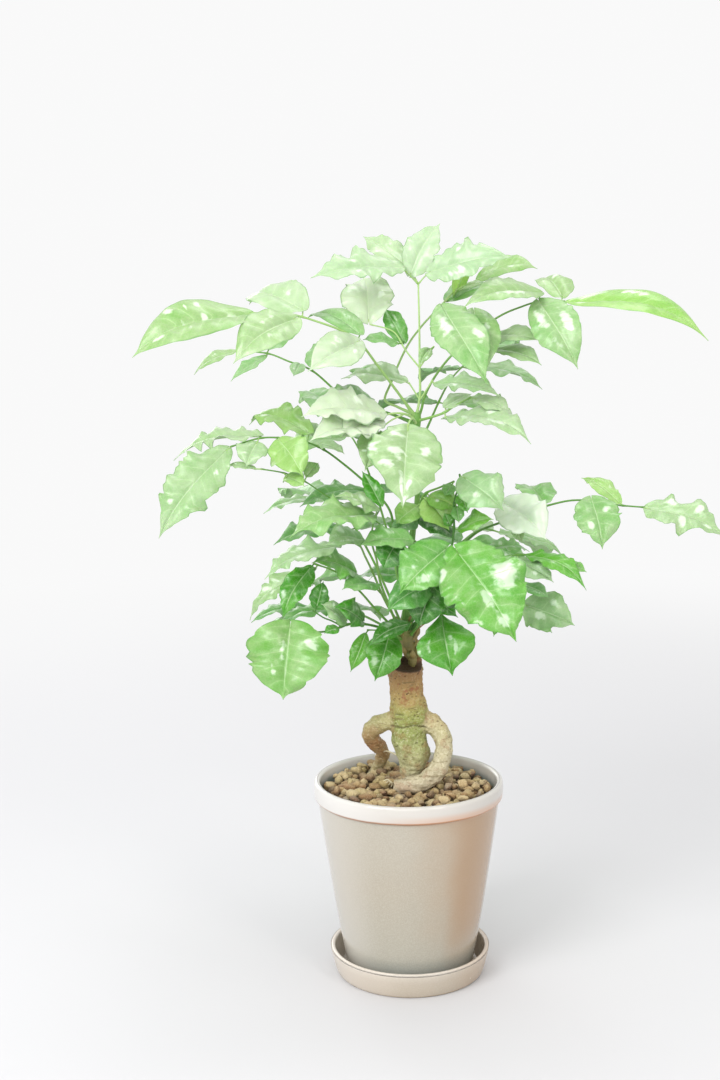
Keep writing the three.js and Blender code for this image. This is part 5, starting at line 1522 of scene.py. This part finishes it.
def makeBackFrond(name, route, leaf, seed, finish):
    # leaflets in two pairs along the stalk, and one at its end
    draw = seededDraw(seed)
    shapeDraw = seededDraw(seed + 1000)
    places = np.array(route, float)
    skin = Skin()
    feet = []

    def add(foot, heading, length):
        base = foot + heading * 7
        width = length * (0.5 + 0.08 * draw())
        own = {"width": width, "tilt": 6 + 14 * draw(), "tone": 0.3 + 0.3 * shapeDraw()}
        shape = {**leafForm["plain"], **leafForm["back"], **own}
        addLeaf(skin, foot, base, base + heading * length, shape, shapeDraw)
        feet.append(foot)

    def headingAt(share):
        near = np.clip([share - 0.0001, share + 0.0001], 0, 1)
        return unit(np.diff(curveThrough(places, near), axis=0)[0])

    for pair, share in enumerate((0.5, 0.86)):
        foot = curveThrough(places, [share])[0]
        ahead = headingAt(share)
        level = unit(np.array([ahead[1], -ahead[0], 0]))
        for hand in (-1, 1):
            heading = ahead * 0.45 + level * hand
            heading[2] = -0.18 - 0.25 * draw()
            add(foot, unit(heading), leaf * (0.86 + 0.2 * draw() - 0.06 * pair))
    heading = headingAt(1)
    heading[2] -= 0.35
    heading = unit(heading)
    add(places[-1] - heading, heading, leaf * 1.2)
    addStem(skin, places, np.linspace(*leafForm["petiole"], 12), feet, 0.4)
    skin.piece(pieceName(name), finish, [name], "foliage")


def leafFinish():
    shader = Shader("leaf")
    place = shader.place()
    tone, silver, reach = shader.mark("leafTone"), shader.mark("leafSilver"), shader.mark("leafReach")
    edge, along, phase = shader.mark("leafEdge"), shader.mark("leafAlong"), shader.mark("veinPhase")
    top, stalk = shader.mark("upperFace"), shader.mark("stalk")
    cloud = shader.noise(place, 45, 3, 0.5)
    blotch = shader.noise(place, 95, 4, 0.6)
    fine = shader.noise(place, 420, 3, 0.6)
    net = shader.cells(place, 420, "DISTANCE_TO_EDGE").step(0.1, 0.0)
    rib = reach.step(0.5, 0.12) * along.step(1.0, 0.6)
    between = abs((phase + 0.5).fract() - 0.5)
    sideVein = between.step(0.055, 0.01) * edge.step(0.95, 0.5)
    grained = shader.node("ShaderNodeCombineXYZ", {}, {"X": phase * 1.7, "Y": reach * 0.09, "Z": tone * 9})
    streak = shader.noise(grained, 1.0, 3, 0.55)

    # painted shade: darker in the plant's middle, low down in the crown
    inner = shader.fromAxis(place).step(80, 12) * (shader.part(place, "Z") / mm).step(365, 300)
    shade = tone - inner * 0.2 + (cloud - 0.5) * 0.3 + (blotch - 0.5) * 0.12
    shade = shade + (streak - 0.5) * 0.25 + (fine - 0.5) * 0.05
    upper = shade.ramp([
        (0.0, "#205c05"), (0.2, "#37870d"), (0.4, "#5c9f30"), (0.6, "#88a96b"), (0.8, "#a4b790"),
        (1.0, "#bbcaac"),
    ])
    paintedSheen = shade.ramp([(0.0, "#4f7f52"), (0.4, "#84a880"), (0.7, "#adc5a5"), (1.0, "#d3ddce")])
    gold = shade.ramp([(0.0, "#36800f"), (0.5, "#70ad2f"), (1.0, "#a5cf55")])
    under = shade.ramp([(0.0, "#40802c"), (0.5, "#80aa5c"), (0.85, "#adc98a"), (1.0, "#c2d9a4")])
    halo = between.step(0.3, 0.02) * edge.step(1.0, 0.6)
    upper = shader.mix(halo * 0.08, upper, "#c9dfb2")
    # painted highlight: the patches' field, broken up by streaks and blotches
    highlightPatch = shader.mark("leafGloss") * 0.6 + (streak - 0.5) * 1.4 + (blotch - 0.5) * 0.8
    paintedHighlight = (highlightPatch + between * 0.3).step(0.12, 0.46) * top * (1 - sideVein * 0.6)
    blade = shader.layered(under, [
        (top, upper),
        # painted sheen: silver lays on a pale grey-green, as the pale surround's reflection gives
        (silver.most(0) * 0.85, paintedSheen),
        ((silver * -1).most(0) * 0.9, gold),
        (blotch.step(0.5, 0.75) * 0.08, "#d3e6c2"),
        # painted highlights: pale patches with streaky rims, then veins and a dark margin
        (paintedHighlight * (tone * 0.45 + 0.3), "#eef8ea"),
        (sideVein * 0.16, "#cfe4b4"),
        (rib * 0.3, "#d9e9c6"),
        (net * 0.07, "#e3f3c8"),
        (edge.step(0.92, 1.0) * cloud.step(0.3, 0.46) * 0.7, "#3f7f2f"),
    ])
    stem = (tone + (cloud - 0.5) * 0.2).ramp([(0.1, "#386c22"), (0.4, "#639638"), (0.75, "#a6c57e")])
    height = rib * -0.6 + sideVein * -0.3 + net * -0.08 + between * 0.1 + cloud * 0.5 + fine * 0.05
    return shader.finish({
        "Base Color": shader.mix(stalk, blade, stem),
        "Roughness": (1 - top) * 0.2 + blotch * 0.2 - paintedHighlight * 0.12 + 0.24,
        "Normal": shader.bump(height * (1 - stalk), 0.4, 0.5),
        "Subsurface Weight": 0.2,
        "Subsurface Radius": (0.5, 1.0, 0.3),
        "Subsurface Scale": 0.0012,
        "Specular IOR Level": 0.5,
        "Coat Weight": 0.12,
        "Coat Roughness": 0.15,
    })


finish = leafFinish()
for index, (name, plans) in enumerate(frondPlan.items()):
    makeFrond(name, *plans, 101 + 13 * index, finish)
for index, (name, (route, leaf)) in enumerate(backFronds.items()):
    makeBackFrond(name, route, leaf, 31 + 17 * index, finish)
print("fronds made")
